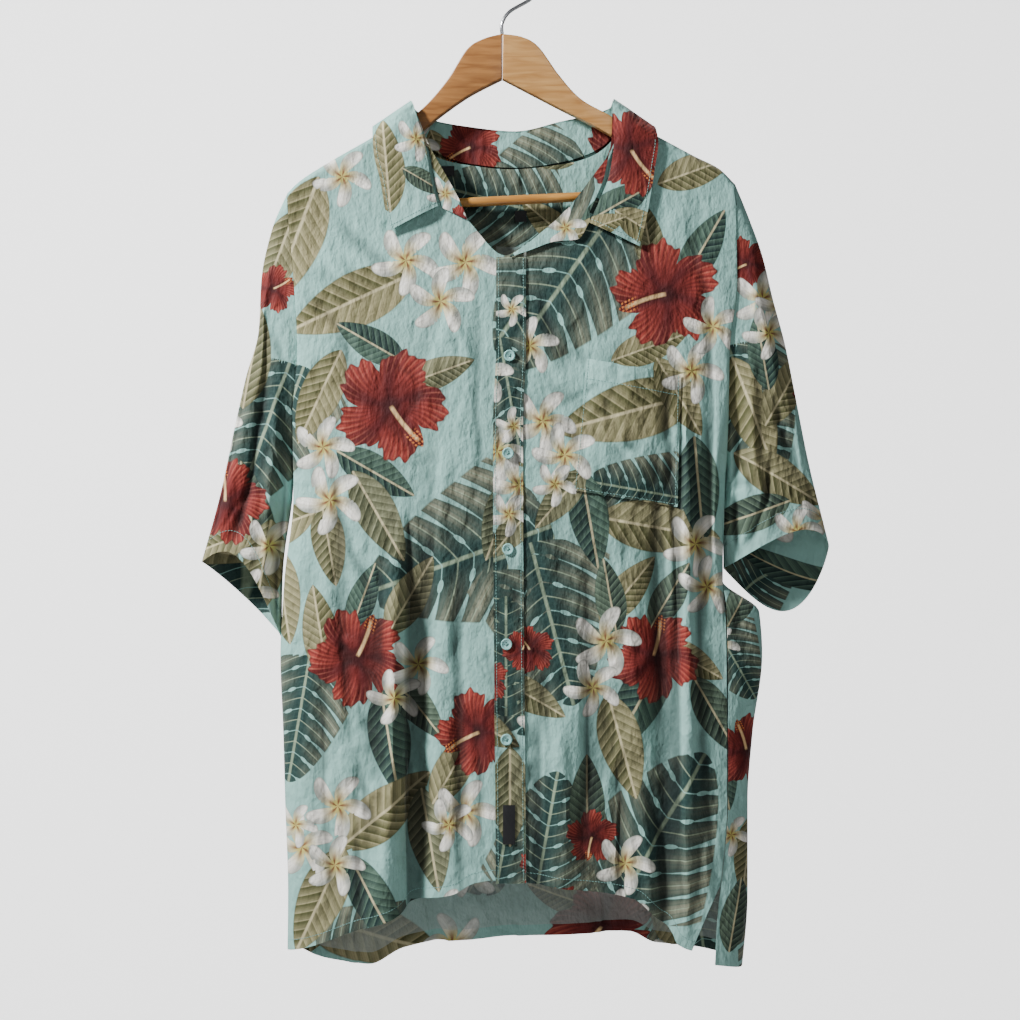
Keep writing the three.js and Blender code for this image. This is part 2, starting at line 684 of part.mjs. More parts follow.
// Wire hook: a straight shank, an easy bend to one side, then three quarters of a ring.
const ringZ = -HOOK_RADIUS;
const ringRadius = HOOK_RADIUS + WIRE_RADIUS;
const ringPoints = steps(9).map((t) => {
  const angle = lerp(-0.5, 1.12 * Math.PI, t);
  return new THREE.Vector3(ringRadius * Math.cos(angle), 0, ringZ + ringRadius * Math.sin(angle));
});
const hookLine = new THREE.CatmullRomCurve3([
  new THREE.Vector3(APEX.x, 0, APEX.z + GAP),
  new THREE.Vector3(APEX.x, 0, APEX.z + 12),
  new THREE.Vector3(APEX.x + 8, 0, APEX.z + 24),
  ...ringPoints,
]);
const wire = new THREE.Shape();
wire.absarc(0, 0, WIRE_RADIUS, 0, 2 * Math.PI);
add('hanger_hook', new THREE.ExtrudeGeometry(wire, {
  extrudePath: hookLine,
  steps: 30,
  curveSegments: 4,
}), steel);

export default group;
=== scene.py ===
import math

import bmesh
import bpy
import numpy as np
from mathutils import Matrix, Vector


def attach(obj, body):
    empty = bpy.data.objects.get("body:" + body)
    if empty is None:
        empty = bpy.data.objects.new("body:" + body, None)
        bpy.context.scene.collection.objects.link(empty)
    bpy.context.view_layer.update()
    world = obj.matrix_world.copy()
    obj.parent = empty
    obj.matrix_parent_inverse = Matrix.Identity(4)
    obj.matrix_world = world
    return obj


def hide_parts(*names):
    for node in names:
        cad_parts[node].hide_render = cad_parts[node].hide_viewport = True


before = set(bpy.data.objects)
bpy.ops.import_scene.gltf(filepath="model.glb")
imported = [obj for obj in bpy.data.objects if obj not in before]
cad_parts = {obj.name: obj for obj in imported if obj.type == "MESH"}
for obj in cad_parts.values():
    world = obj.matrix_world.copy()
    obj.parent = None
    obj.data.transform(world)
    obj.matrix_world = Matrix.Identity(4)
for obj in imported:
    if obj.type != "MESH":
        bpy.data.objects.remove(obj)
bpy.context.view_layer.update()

MM = 0.001

# Everything below is in millimetres: +X the viewer's right, -Y the front, +Z up.

# ---- cloth ----
CLOTH = 1.2  # a wall of the solids
SKIN = 0.7  # a wall of the looks
GAP = 0.3  # at a seam
LAY = 0.5  # between cloths that lie on each other
MIDDLE_GAP = 0.7  # from the middle plane, at the sides
OVER_ARM = 9  # half the depth where the cloth lies over the hanger
OVER_ARM_ROUND = 7
OPENING_REACH = 110  # how far down the cloth opens to its full depth
CORNER = 0.8  # the place round the body where the side begins to turn
CORNER_X = math.sqrt(0.5) ** 0.5
ARMHOLE_DEPTH = 16
SHOULDER_Z = -221
UNDERARM_Z = -514
PLACKET_HALF = 15
PLACKET_TOP = -299
PLACKET_FOOT = -926
SLEEVE_DEPTH = 20
SLEEVE_GAP = 0.6
SEAM_GAP = 0.4  # from the front to the seam it ends at
SEAM_STEP = 0.0015  # from the seam to the back's edge, as a place round the body
STRIP = 0.1  # share of the back's columns in the strip that wraps round
STRIP_LIMIT = 0.9995  # where the strip ends above the seam's turn
NECK_LEFT, NECK_RIGHT = -104, 112
VENT_TOP = -930
VENT_SLANT = 0.36

# z, left, right, depth
BODY = [
    (-150, -226, 228, 9), (-231, -226, 229, 12), (-320, -219, 230, 21), (-394, -215, 222, 26),
    (-460, -220, 221, 29), (-540, -220, 218, 32), (-624, -229, 215, 34), (-657, -231, 253, 36),
    (-700, -233, 256, 37), (-780, -230, 246, 39), (-850, -228, 241, 41), (-940, -225, 241, 43),
    (-1030, -226, 234, 44),
]
# z, x of the right side seam, which has turned to the front
SEAM = [(-624, 215), (-668, 217), (-850, 218), (-918, 212), (-957, 207), (-1010, 204)]
# x, z
SHOULDER = [
    (-226, -231), (-215, -220), (-179, -197), (-139, -174), (-104, -151), (0, -85),
    (112, -154), (147, -172), (188, -194), (212, -206), (229, -222),
]
FRONT_NECK = [
    (-104, -151), (-102, -160), (-92, -175), (-78, -196), (-62, -222), (-45, -256), (-38, -266),
    (-5, -297), (14, -286), (52, -258), (60, -249), (81, -221), (97, -202), (104, -186),
    (110, -163), (112, -154),
]
BACK_NECK = [
    (-104, -151), (-102, -160), (-94, -176), (-75, -193), (-41, -201), (0, -205), (59, -199),
    (85, -191), (104, -176), (110, -163), (112, -154),
]
FRONT_HEM = [
    (-226, -998), (-200, -991), (-153, -973), (-110, -957), (-98, -945), (-58, -938), (-35, -926),
    (-14, -923), (55, -931), (123, -942), (147, -962), (158, -970), (168, -988), (184, -994),
    (218, -996),
]
BACK_HEM = [
    (-226, -1000), (-194, -1018), (-147, -1027), (-111, -1010), (-51, -1001), (0, -997),
    (82, -996), (125, -992), (151, -1003), (204, -1009), (232, -1014),
]
PLACKET_LINE = [(-399, 1), (-470, -2), (-925, 1)]

# Large folds as in the solids: x at the top, x at the foot, top, foot, reach, rise
FRONT_FOLDS = [
    (-104, -122, -540, -960, 16, 9), (-88, -92, -540, -960, 13, -7), (-180, -160, -560, -800, 18, 4),
    (-150, -138, -820, -1000, 20, 6), (166, 180, -440, -880, 15, 8), (146, 156, -470, -930, 14, -6),
    (40, 52, -740, -935, 16, 5), (96, 92, -700, -945, 18, -4), (-60, -40, -330, -560, 22, 3),
]
BACK_FOLDS = [
    (-70, -84, -420, -1010, 24, 8), (-20, -34, -560, -1000, 22, -6), (74, 90, -400, -1000, 24, 9),
    (128, 140, -620, -1000, 20, -6), (-150, -166, -600, -1020, 20, 6), (172, 186, -560, -1000, 20, 6),
]

# Creases: x, z at one end, x, z at the other, reach, rise (a trough is below nought)
FRONT_CREASES = [
    (-101, -560, -108, -955, 5, -5), (-113, -600, -124, -950, 7, 3), (-180, -490, -160, -760, 9, -2.4),
    (-214, -440, -222, -700, 7, -2), (-196, -640, -205, -960, 8, 2.4), (-190, -720, -184, -975, 6, -2),
    (-172, -262, -120, -318, 7, -1.5), (-190, -290, -150, -352, 6, 1.3),
    (-205, -330, -150, -420, 7, -1.3),
    (-60, -330, -84, -470, 8, 1.6), (-36, -345, -30, -520, 5, -1.4), (-70, -480, -64, -700, 8, 2),
    (-52, -620, -50, -900, 6, -2.2), (-76, -700, -74, -930, 6, 2), (-34, -740, -30, -915, 6, -1.6),
    (-150, -800, -144, -965, 7, -2.6), (-130, -560, -138, -640, 6, 1.5),
    (-170, -560, -140, -640, 6, -1.6),
    (28, -330, 60, -420, 7, -1.2), (36, -700, 38, -925, 5, -1.8), (52, -760, 56, -930, 5, 2),
    (72, -740, 75, -930, 5, -1.8), (20, -560, 48, -640, 6, 1.2), (120, -600, 128, -780, 8, 1.8),
    (110, -780, 104, -940, 6, -2), (132, -800, 140, -960, 6, 2.2), (158, -420, 170, -760, 5, -4),
    (176, -400, 182, -800, 6, 3), (198, -320, 204, -560, 6, -2.6), (206, -430, 208, -640, 5, 2),
    (186, -620, 196, -900, 6, -2.2), (150, -860, 156, -980, 5, -2), (170, -840, 178, -985, 6, 2),
    (60, -300, 140, -330, 8, 1), (110, -262, 190, -300, 8, -1.2), (150, -250, 214, -330, 9, 1.2),
    (176, -262, 216, -380, 7, -1.6), (196, -880, 204, -985, 5, 2),
]
BACK_CREASES = [
    (-160, -300, -120, -420, 9, -1.6), (150, -300, 116, -430, 9, -1.8), (-40, -300, -46, -520, 10, 2),
    (30, -320, 36, -560, 10, -2), (-110, -520, -122, -960, 8, 2.8), (-60, -560, -66, -960, 7, -2.4),
    (10, -600, 6, -970, 8, 2.2), (60, -540, 66, -950, 7, -2.4), (110, -600, 120, -960, 8, 2.2),
    (150, -560, 160, -950, 7, -2.2), (196, -640, 204, -980, 7, 2.2), (-180, -520, -190, -960, 8, -2.2),
    (-78, -940, -80, -1020, 6, 3), (88, -940, 90, -1015, 6, 3),
]
# On the strip of the back that wraps round to the front at the right
WRAP_CREASES = [
    (226, -650, 240, -720, 6, -3), (232, -700, 222, -790, 6, 2.6), (246, -700, 232, -800, 6, -2.6),
    (222, -790, 240, -850, 6, 2.2), (236, -820, 224, -920, 6, -2.6), (224, -900, 236, -990, 6, 2.4),
]

# Pleats where the cloth laps over itself: x at the top, x at the foot, top, foot,
# the side that drops away (1 right, -1 left), depth, how far it takes to come back
FRONT_PLEATS = [
    (-104, -103, -530, -990, 1, 9, 26), (173, 172, -400, -905, -1, 8, 24),
    (72, 74, -590, -835, 1, 5, 24),
    (-182, -164, -550, -800, 1, 3.5, 22), (30, 34, -720, -960, -1, 3.5, 18),
    (204, 206, -330, -600, -1, 4, 18),
    (-60, -52, -640, -930, 1, 3, 18), (110, 108, -760, -960, 1, 4, 20),
    (-152, -146, -780, -990, -1, 3.5, 20),
    (140, 146, -560, -760, 1, 3, 20), (-205, -208, -420, -700, 1, 3, 18),
]
BACK_PLEATS = [
    (-60, -66, -480, -1030, 1, 7, 26), (90, 96, -460, -1030, -1, 7, 24), (10, 6, -560, -1030, 1, 4, 22),
    (-150, -160, -560, -1030, -1, 4, 22), (160, 166, -600, -1030, 1, 4, 22),
]

# t, x, z of the outer line
SLEEVE_L = [
    (0, -226, -231), (0.1, -242, -268), (0.22, -253, -318), (0.36, -256, -371), (0.5, -269, -419),
    (0.64, -280, -468), (0.8, -295, -538), (1, -314, -607),
]
SLEEVE_R = [
    (0, 229, -222), (0.1, 243, -256), (0.22, 257, -295), (0.36, 268, -340), (0.5, 280, -385),
    (0.64, 291, -440), (0.8, 304, -506), (1, 325, -592),
]
# Creases on a sleeve by its own u (round it, front above a half) and v (down it)
SLEEVE_CREASES = {
    "left": [
        (0.72, 0.15, 0.66, 0.98, 0.03, 3), (0.80, 0.30, 0.78, 1.0, 0.025, -3),
        (0.88, 0.10, 0.86, 0.95, 0.03, 2.4),
        (0.62, 0.30, 0.58, 1.0, 0.025, -3), (0.93, 0.5, 0.91, 1.0, 0.02, -1.6),
        (0.70, 0.05, 0.90, 0.35, 0.03, -1.4),
        (0.25, 0.2, 0.3, 0.95, 0.04, 3), (0.35, 0.3, 0.38, 1.0, 0.03, -3),
        (0.15, 0.2, 0.12, 0.95, 0.03, -2),
    ],
    "right": [
        (0.66, 0.15, 0.62, 0.98, 0.03, -3), (0.74, 0.25, 0.72, 1.0, 0.025, 3),
        (0.82, 0.55, 0.90, 0.98, 0.03, -2.6),
        (0.86, 0.10, 0.84, 0.6, 0.03, 2.4), (0.60, 0.40, 0.72, 0.92, 0.025, 2.6),
        (0.78, 0.70, 0.66, 0.98, 0.02, -2.6),
        (0.25, 0.2, 0.3, 0.95, 0.04, 3), (0.35, 0.3, 0.38, 1.0, 0.03, -3),
        (0.15, 0.2, 0.12, 0.95, 0.03, -2),
    ],
}

# Collar ribs: k, side, roll x, z, edge x, z, foot x, z
COLLAR = [
    (0, -1, -73, -247, -122, -272, -43, -261), (1, -1, -80, -219, -126, -252, -50, -243),
    (2, -1, -85, -189, -131, -222, -66, -213), (3, -1, -93, -160, -138, -192, -90, -174),
    (3.5, -1, -98, -143, -139, -177, -104, -153), (4, 0, -101, -137, -140, -163, -103.5, -148),
    (4.5, 1, -98, -142, -137, -178, -104, -153), (5, 1, -84, -152, -116, -197, -90, -177),
    (6, 1, -45, -160, -60, -212, -46, -198), (7, 1, 5, -165, 5, -219, 5, -203),
    (8, 1, 52, -155, 68, -210, 54, -197), (9, 1, 88, -147, 122, -197, 95, -181),
    (9.5, 1, 103, -141, 143, -182, 112, -157), (10, 0, 106, -135, 147, -163, 110, -150),
    (10.5, -1, 104, -146, 150, -182, 112, -157), (11, -1, 105, -176, 147, -205, 103, -188),
    (12, -1, 101, -212, 142, -236, 86, -213), (13, -1, 90, -242, 137, -263, 68, -237),
    (14, -1, 80, -264, 131, -288, 58, -250),
]
LEAF_LIFT = 5.6
STAND_LIFT = 2.2
ROLL_GAP = 2.6
COLLAR_HOLD = 8
STAND_TUCK = 0.975
COLLAR_THICK = 1.0

BUTTONS = [(-0.5, -399), (-2, -497), (-2, -593), (-3.5, -688), (-3.5, -783)]
BUTTON_R = 5.75

# ---- print: ordinary flowers and leaves, listed one by one ----
# x, z, size, turn in degrees
HIBISCUS = [
    (-120, -449, 60, 300), (-153, -701, 52, 60), (-30, -776, 46, 200), (158, -336, 58, 190),
    (144, -701, 48, 70), (82, -880, 28, 250), (20, -694, 26, 120), (44, -968, 44, 80),
]
PLUMERIA = [
    (-170, -216, 27, 10), (-105, -302, 31, 80), (-45, -304, 33, 15), (-70, -344, 30, 40),
    (-188, -491, 28, 30), (-181, -544, 31, 70), (-92, -709, 27, 20), (-115, -741, 25, 60),
    (-172, -850, 30, 15), (-209, -892, 29, 50), (-175, -909, 27, 30), (-44, -856, 30, 25),
    (-61, -868, 24, 70), (33, -465, 30, 15), (55, -499, 29, 60), (20, -389, 26, 40),
    (183, -414, 29, 20), (205, -369, 27, 55), (186, -588, 29, 15), (198, -631, 27, 45),
    (96, -685, 31, 30), (83, -732, 26, 70), (115, -907, 27, 20), (45, -528, 20, 10),
    (-215, -870, 20, 20), (-60, -966, 30, 40), (-10, -958, 24, 10), (112, -960, 24, 50),
]
MONSTERA = [
    (-52, -604, 92, 200), (-212, -764, 60, 260), (50, -330, 92, 235), (128, -534, 48, 170),
    (42, -668, 78, 285), (150, -876, 84, 60), (36, -880, 62, 80), (-230, -470, 60, 250),
    (-130, -985, 60, 30),
]
# x, z, size, turn, tone (0 tan, 1 dark green)
LEAF = [
    (-218, -282, 62, 250, 0.1), (-160, -344, 62, 205, 0.1), (-140, -386, 36, 150, 1),
    (-72, -416, 34, 20, 0.4),
    (-192, -440, 46, 245, 0.15), (-135, -517, 40, 330, 1), (-132, -560, 46, 300, 0.5),
    (-182, -588, 38, 280, 0.3),
    (-245, -574, 46, 200, 0.2), (-190, -676, 42, 100, 0.2), (-147, -641, 32, 70, 1),
    (-100, -640, 40, 60, 0.3),
    (-120, -784, 46, 280, 1), (-125, -854, 52, 40, 0.15), (-190, -944, 52, 245, 0.2),
    (-135, -944, 46, 300, 1),
    (-80, -884, 46, 280, 0.5), (-55, -809, 40, 60, 0.2), (-92, -752, 36, 310, 0.9),
    (118, -456, 66, 195, 0.15),
    (150, -572, 56, 350, 0.2), (80, -564, 44, 280, 1), (50, -543, 34, 230, 0.4),
    (190, -534, 48, 275, 1),
    (128, -748, 52, 240, 1), (112, -790, 48, 285, 0.2), (118, -634, 38, 50, 0.2),
    (180, -704, 34, 330, 0.2),
    (77, -844, 40, 90, 0.9), (140, -390, 36, 20, 0.15), (195, -289, 40, 60, 1),
    (140, -279, 34, 100, 0.3),
    (190, -209, 38, 20, 0.15), (-8, -560, 42, 250, 0.6), (100, -640, 34, 100, 0.9),
    (160, -640, 34, 60, 0.9),
    (20, -740, 36, 330, 0.3), (-230, -640, 44, 280, 0.2), (206, -760, 40, 300, 0.9),
    (-30, -960, 40, 20, 0.5),
    (70, -980, 42, 350, 0.2), (0, -985, 40, 160, 0.9), (170, -440, 40, 300, 0.15),
]
SLEEVE_L_PRINT = dict(
    hibiscus=[(-288, -546, 46, 90), (-240, -330, 26, 20), (-330, -420, 44, 40)],
    plumeria=[(-243, -590, 26, 10), (-300, -470, 26, 40), (-262, -640, 24, 30), (-345, -520, 26, 30)],
    monstera=[(-250, -480, 74, 250), (-330, -600, 70, 240)],
    leaf=[(-262, -560, 50, 100, 0.9), (-236, -300, 46, 250, 0.2), (-300, -590, 40, 200, 0.2),
          (-250, -615, 46, 260, 0.3), (-262, -400, 46, 80, 0.3), (-340, -470, 46, 60, 0.2)],
)
SLEEVE_R_PRINT = dict(
    hibiscus=[(240, -305, 30, 200), (330, -440, 44, 40)],
    plumeria=[(256, -340, 28, 30), (275, -345, 24, 60), (262, -375, 24, 0), (322, -560, 26, 40),
              (348, -560, 24, 10), (290, -575, 24, 30)],
    monstera=[(245, -455, 66, 290), (396, -632, 52, 160)],
    leaf=[(245, -455, 52, 290, 0.15), (272, -522, 46, 330, 0.2), (280, -430, 40, 60, 0.2),
          (255, -395, 34, 100, 1), (240, -560, 40, 200, 0.9), (340, -500, 46, 70, 0.9),
          (352, -612, 34, 40, 1), (420, -600, 40, 120, 0.9)],
)
COLLAR_PRINT = dict(
    hibiscus=[(122, -190, 52, 300), (-40, -182, 36, 200), (-45, -262, 20, 0)],
    plumeria=[(-95, -179, 24, 20), (-65, -234, 20, 10), (56, -269, 22, 40), (-30, -250, 18, 10),
              (-40, -275, 20, 40)],
    monstera=[(15, -225, 70, 200)],
    leaf=[(-125, -206, 48, 95, 0.1), (-70, -196, 34, 290, 0.2), (108, -246, 42, 30, 1),
          (140, -272, 40, 330, 0.1),
          (-86, -222, 26, 330, 0.9), (90, -268, 30, 20, 0.1), (-20, -290, 30, 150, 1)],
)


# ---- tables and sections ----
def read(rows, place, column=1):
    """Value of a column along the first one, smoothly and without overshoot."""
    table = np.array([(row[0], row[column]) for row in rows], float)
    if table[0, 0] > table[-1, 0]:
        table = table[::-1]
    keys, values = table.T
    slope = np.diff(values) / np.diff(keys)
    bend = np.concatenate([[slope[0]], np.zeros(len(slope) - 1), [slope[-1]]])
    same = slope[:-1] * slope[1:] > 0
    both = np.where(same, slope[:-1] + slope[1:], 1)
    bend[1:-1] = np.where(same, 2 * slope[:-1] * slope[1:] / both, 0)
    at = np.clip(place, keys[0], keys[-1])
    i = np.clip(np.searchsorted(keys, at, "right") - 1, 0, len(slope) - 1)
    width = np.diff(keys)[i]
    t = (at - keys[i]) / width
    rise = t * t * (3 - 2 * t)
    bow = t * (1 - t) * ((1 - t) * bend[i] - t * bend[i + 1])
    return values[i] + rise * (values[i + 1] - values[i]) + width * bow


def lerp(a, b, t):
    return a + (b - a) * t


def smooth(t):
    t = np.clip(t, 0, 1)
    return t * t * (3 - 2 * t)


def corner_u(s):
    """Share of the half width, -1 to 1, at a place s round the body."""
    size = np.abs(s)
    turn = (math.pi / 4) * (1 + (size - CORNER) / (1 - CORNER))
    radius = (np.sin(turn) ** 4 + np.abs(np.cos(turn)) ** 4) ** -0.25
    return np.sign(s) * np.where(size <= CORNER, CORNER_X * size / CORNER, radius * np.sin(turn))


def across(u):
    """The place round the body at a share of the half width; the reverse of corner_u."""
    size = np.minimum(1, np.abs(u))
    turn = np.arctan2(size, (1 - size ** 4) ** 0.25)
    return np.sign(u) * np.where(size <= CORNER_X, size * CORNER / CORNER_X,
                                 CORNER + (1 - CORNER) * (turn / (math.pi / 4) - 1))


def crown_at(x, z):
    """Share of the full depth that the cloth has at x: 1 in the middle, 0 at the sides."""
    left, right = read(BODY, z, 1), read(BODY, z, 2)
    u = np.clip((2 * x - left - right) / (right - left), -1, 1)
    return (1 - u ** 4) ** 0.25


def armhole_depth(z):
    t = np.clip((SHOULDER_Z - z) / (SHOULDER_Z - UNDERARM_Z), 0, 1)
    return ARMHOLE_DEPTH * np.sqrt(4 * t * (1 - t))


def stand_out(x, z, crown, lift=0.0):
    """How far the plain cloth stands out from the middle plane."""
    edge = armhole_depth(z)
    full = edge + (read(BODY, z, 3) - edge) * crown
    below = read(SHOULDER, x) - z
    near = np.clip((below + lift) / (OVER_ARM_ROUND + lift), 0, 1)
    opened = 1 - np.exp(-np.maximum(0, below) / OPENING_REACH)
    rounded = np.sqrt(1 - (1 - near) ** 2)
    return (np.minimum(OVER_ARM, full) + lift) * rounded + np.maximum(0, full - OVER_ARM) * opened


def fold_rise(folds, x, z):
    """Large folds, which run down and fade at both ends."""
    rise = 0.0
    for top_x, low_x, top, foot, reach, height in folds:
        along = (top - z) / (top - foot)
        line = lerp(top_x, low_x, np.clip(along, 0, 1))
        fade = smooth(along * 3) * smooth((1.25 - along) * 4)
        rise = rise + height * fade * np.exp(-(((x - line) / reach) ** 2))
    return rise


def crease_rise(creases, x, z):
    """Soft ridges and troughs along short, slightly wandering lines."""
    rise = 0.0
    for i, (x0, z0, x1, z1, reach, height) in enumerate(creases):
        dx, dz = x1 - x0, z1 - z0
        length = math.hypot(dx, dz)
        along = ((x - x0) * dx + (z - z0) * dz) / length ** 2
        off = ((x - x0) * dz - (z - z0) * dx) / length
        off = off - 0.35 * reach * np.sin(7 * along + i)
        wide = reach * (1 + 0.35 * np.sin(5 * along + 2 * i))
        fade = smooth(along * 3 + 0.3) * smooth((1.1 - along) * 3)
        rise = rise + height * fade * np.exp(-((off / wide) ** 2))
    return rise


def pleat_rise(pleats, x, z):
    """A sharp drop on one side of each line, which comes back slowly."""
    rise = 0.0
    for i, (top_x, low_x, top, foot, side, depth, back) in enumerate(pleats):
        along = (top - z) / (top - foot)
        line = lerp(top_x, low_x, np.clip(along, 0, 1)) + 1.5 * np.sin(6 * along + i)
        away = (x - line) * side
        fade = smooth(along * 3) * smooth((1.12 - along) * 5)
        rise = rise - depth * fade * smooth((away + 1.5) / 4) * np.exp(-np.maximum(0, away) / back)
    return rise


def small_creases(count, span, drop, seed):
    """Many faint uneven crumples, more of them lower down, by a seeded draw."""
    draw = np.random.default_rng(seed)
    creases = []
    for _ in range(count):
        x = draw.uniform(*span)
        z = lerp(drop[0], drop[1], draw.uniform(0, 1) ** 0.75)
        length = draw.uniform(30, 110)
        lean = draw.normal(0, 0.35) if draw.uniform() < 0.75 else draw.uniform(-1.3, 1.3)
        rise = draw.uniform(0.35, 1.1) * draw.choice([-1, 1])
        end = (x + length * math.sin(lean), z - length * math.cos(lean))
        creases.append((x, z, *end, draw.uniform(3.5, 7), rise))
    return creases


FRONT_SMALL = small_creases(260, (-222, 214), (-300, -970), 3)
BACK_SMALL = small_creases(220, (-222, 214), (-280, -1000), 5)


def detail(x, z, back):
    if back:
        soft = 1.4 * crease_rise(BACK_CREASES, x, z) + 1.3 * crease_rise(BACK_SMALL, x, z)
        return soft + pleat_rise(BACK_PLEATS, x, z)
    soft = 1.3 * crease_rise(FRONT_CREASES, x, z) + 1.3 * crease_rise(FRONT_SMALL, x, z)
    return soft + pleat_rise(FRONT_PLEATS, x, z)


EASE_STEPS = (-44, -33, -22, -11, 0, 11, 22, 33, 44)


def front_crown(x, z):
    """The front's crown, eased where the body widens below the right sleeve."""
    eased = sum(crown_at(np.minimum(x, 215), z + step) for step in EASE_STEPS) / len(EASE_STEPS)
    share = smooth((x - 120) / 50) * smooth((z + 760) / 60) * smooth((-540 - z) / 40)
    return lerp(crown_at(x, z), eased, share)


def on_body(x, z, side, lift=0.0, fine=1.0):
    """y of what lies on the front (side -1) or back (1), lifted off the cloth."""
    back = side > 0
    crown = crown_at(x, z) if back else front_crown(x, z)
    fold = fold_rise(BACK_FOLDS if back else FRONT_FOLDS, x, z) + fine * detail(x, z, back)
    fold = fold * crown * smooth(crown * 2)
    return side * (stand_out(x, z, crown, lift) + fold + MIDDLE_GAP)


def body_xy(s, z, is_back):
    """x and y at a place round the body: -1 the left side, 1 the right, 3 the left again by the back."""
    left, right = read(BODY, z, 1), read(BODY, z, 2)
    on_back = (s > 1) | (is_back & (s == 1))
    u = corner_u(np.where(on_back, 2 - s, s))
    crown = (1 - np.clip(np.abs(u), 0, 1) ** 4) ** 0.25
    x = (left + right) / 2 + (right - left) / 2 * u
    front = fold_rise(FRONT_FOLDS, x, z)
    if is_back:
        front = front + crease_rise(WRAP_CREASES, x, z)
    else:
        front = front + detail(x, z, False)
    behind = fold_rise(BACK_FOLDS, x, z) + detail(x, z, True) if is_back else 0
    fold = np.where(on_back, behind, front) * crown * smooth(crown * 2)
    out = stand_out(x, z, crown) + fold + MIDDLE_GAP
    return x, np.where(on_back, out, -out)


# ---- shells ----
OUTSIDE = 5.0  # a place in a motif that is outside all of them
SHARP_FOLD = 0.9
SHARP_WOOD = 0.6


def normals(points, wrap):
    if wrap:
        du = np.roll(points, -1, 1) - np.roll(points, 1, 1)
    else:
        du = np.gradient(points, axis=1)
    dv = np.gradient(points, axis=0)
    n = np.cross(du, dv)
    size = np.linalg.norm(n, axis=2, keepdims=True)
    return n / np.maximum(size, 1e-9)


def motif_reach(kind, u, v):
    """About how far a motif reaches from its long axis, at a place along it."""
    if kind == "leaf":
        return np.maximum(0, 1 - u * u) ** 0.75 * (0.40 - u * 0.09)
    if kind == "monstera":
        return (np.maximum(0, 1 - u) * 0.58) ** 0.55 * np.clip((u + 1) / 0.38, 0, 1) ** 0.5 * 0.92
    r = np.hypot(u, v)
    twist, power, share, least = (0.55, 1.15, 0.8, 0.2) if kind == "plumeria" else (0.35, 0.55, 0.34, 0.63)
    petal = np.abs(np.cos(2.5 * (np.arctan2(v, u) + twist * r)))
    return np.abs(v) + petal ** power * share + least - r


def layers_for(centre, prints):
    """For each face the motif drawn in each layer: its row in the table, or -1."""
    picks = {}
    for kind, levels in (("monstera", 2), ("leaf", 2), ("hibiscus", 1), ("plumeria", 2)):
        rows = prints.get(kind, [])
        found = -np.ones((levels, len(centre)), int)
        for i, row in enumerate(rows):
            x, z, size, turn = row[:4]
            turn = math.radians(turn)
            p, q = (centre[:, 0] - x) / size, (centre[:, 1] - z) / size
            u = p * math.cos(turn) + q * math.sin(turn)
            v = -p * math.sin(turn) + q * math.cos(turn)
            edge = 4.5 / size
            hit = (np.abs(u) < 1 + edge) & (np.abs(v) < motif_reach(kind, u, v) + edge)
            if levels > 1:
                found[1][hit] = found[0][hit]
            found[0][hit] = i
        for level in range(levels):
            picks[f"{kind}_{level + 1}"] = (rows, found[level])
    return picks


def painted_fold_shading(points, n, wrap):
    """Painted shade and light: a factor on the colour at each point, less in a trough than on a ridge."""
    shade = np.zeros(points.shape[:2])
    for reach, depth in ((3, 1.6), (7, 5.0)):
        if wrap:
            ends = np.concatenate([points[:, -reach:], points, points[:, :reach]], 1)
            wide = np.pad(ends, [(reach, reach), (0, 0), (0, 0)], mode="edge")
        else:
            around = [(reach, reach), (reach, reach), (0, 0)]
            wide = np.pad(points, around, mode="reflect", reflect_type="odd")
        rows, columns = points.shape[:2]
        total = np.zeros_like(points)
        for i in range(-reach, reach + 1):
            total += wide[reach:reach + rows, reach + i:reach + i + columns]
        level = total / (2 * reach + 1)
        shade += np.clip(((points - level) * n).sum(2) / depth, -1, 0.5)
    return np.clip(1 + 0.55 * shade, 0.38, 1.12)


def linked(name, data):
    obj = bpy.data.objects.new(name, data)
    bpy.context.collection.objects.link(obj)
    return obj


def shell_faces(rows, columns, wrap, flip):
    """The front, back and rim faces of a closed cloth; its inner points come after its outer ones."""
    total = rows * columns
    grid = np.arange(total).reshape(rows, columns)
    if wrap:
        grid = np.concatenate([grid, grid[:, :1]], axis=1)
    a, b = grid[:-1, :-1].ravel(), grid[:-1, 1:].ravel()
    c, d = grid[1:, 1:].ravel(), grid[1:, :-1].ravel()
    front = np.stack([a, d, c, b] if flip else [a, b, c, d], 1)
    ends = [grid[0], grid[-1][::-1]]
    if not wrap:
        ends += [grid[::-1, 0], grid[:, -1]]
    rim = []
    for line in ends:
        p, q = line[:-1], line[1:]
        quad = np.stack([q, p, p + total, q + total], 1)
        rim.append(quad[:, ::-1] if flip else quad)
    return front, front[:, ::-1] + total, np.concatenate(rim)


def lay_print(mesh, faces, place, prints):
    """Writes on each face's corners where they are in the motif of each layer, and its tone."""
    corner = faces.ravel()
    for label, (table, found) in layers_for(place[faces].mean(1), prints).items():
        data = np.full((len(corner), 3), OUTSIDE)
        rows = [(*row[:3], math.radians(row[3]), row[4] if len(row) > 4 else 0.5) for row in table]
        mine = np.repeat(found, 4)
        use = mine >= 0
        x, z, size, turn, tone = np.array(rows or [(0, 0, 1, 0, 0)])[mine[use]].T
        p = (place[corner[use], 0] - x) / size
        q = (place[corner[use], 1] - z) / size
        data[use, 0] = p * np.cos(turn) + q * np.sin(turn)
        data[use, 1] = -p * np.sin(turn) + q * np.cos(turn)
        data[use, 2] = tone
        attribute = mesh.attributes.new(label, "FLOAT_VECTOR", "CORNER")
        attribute.data.foreach_set("vector", data.ravel())


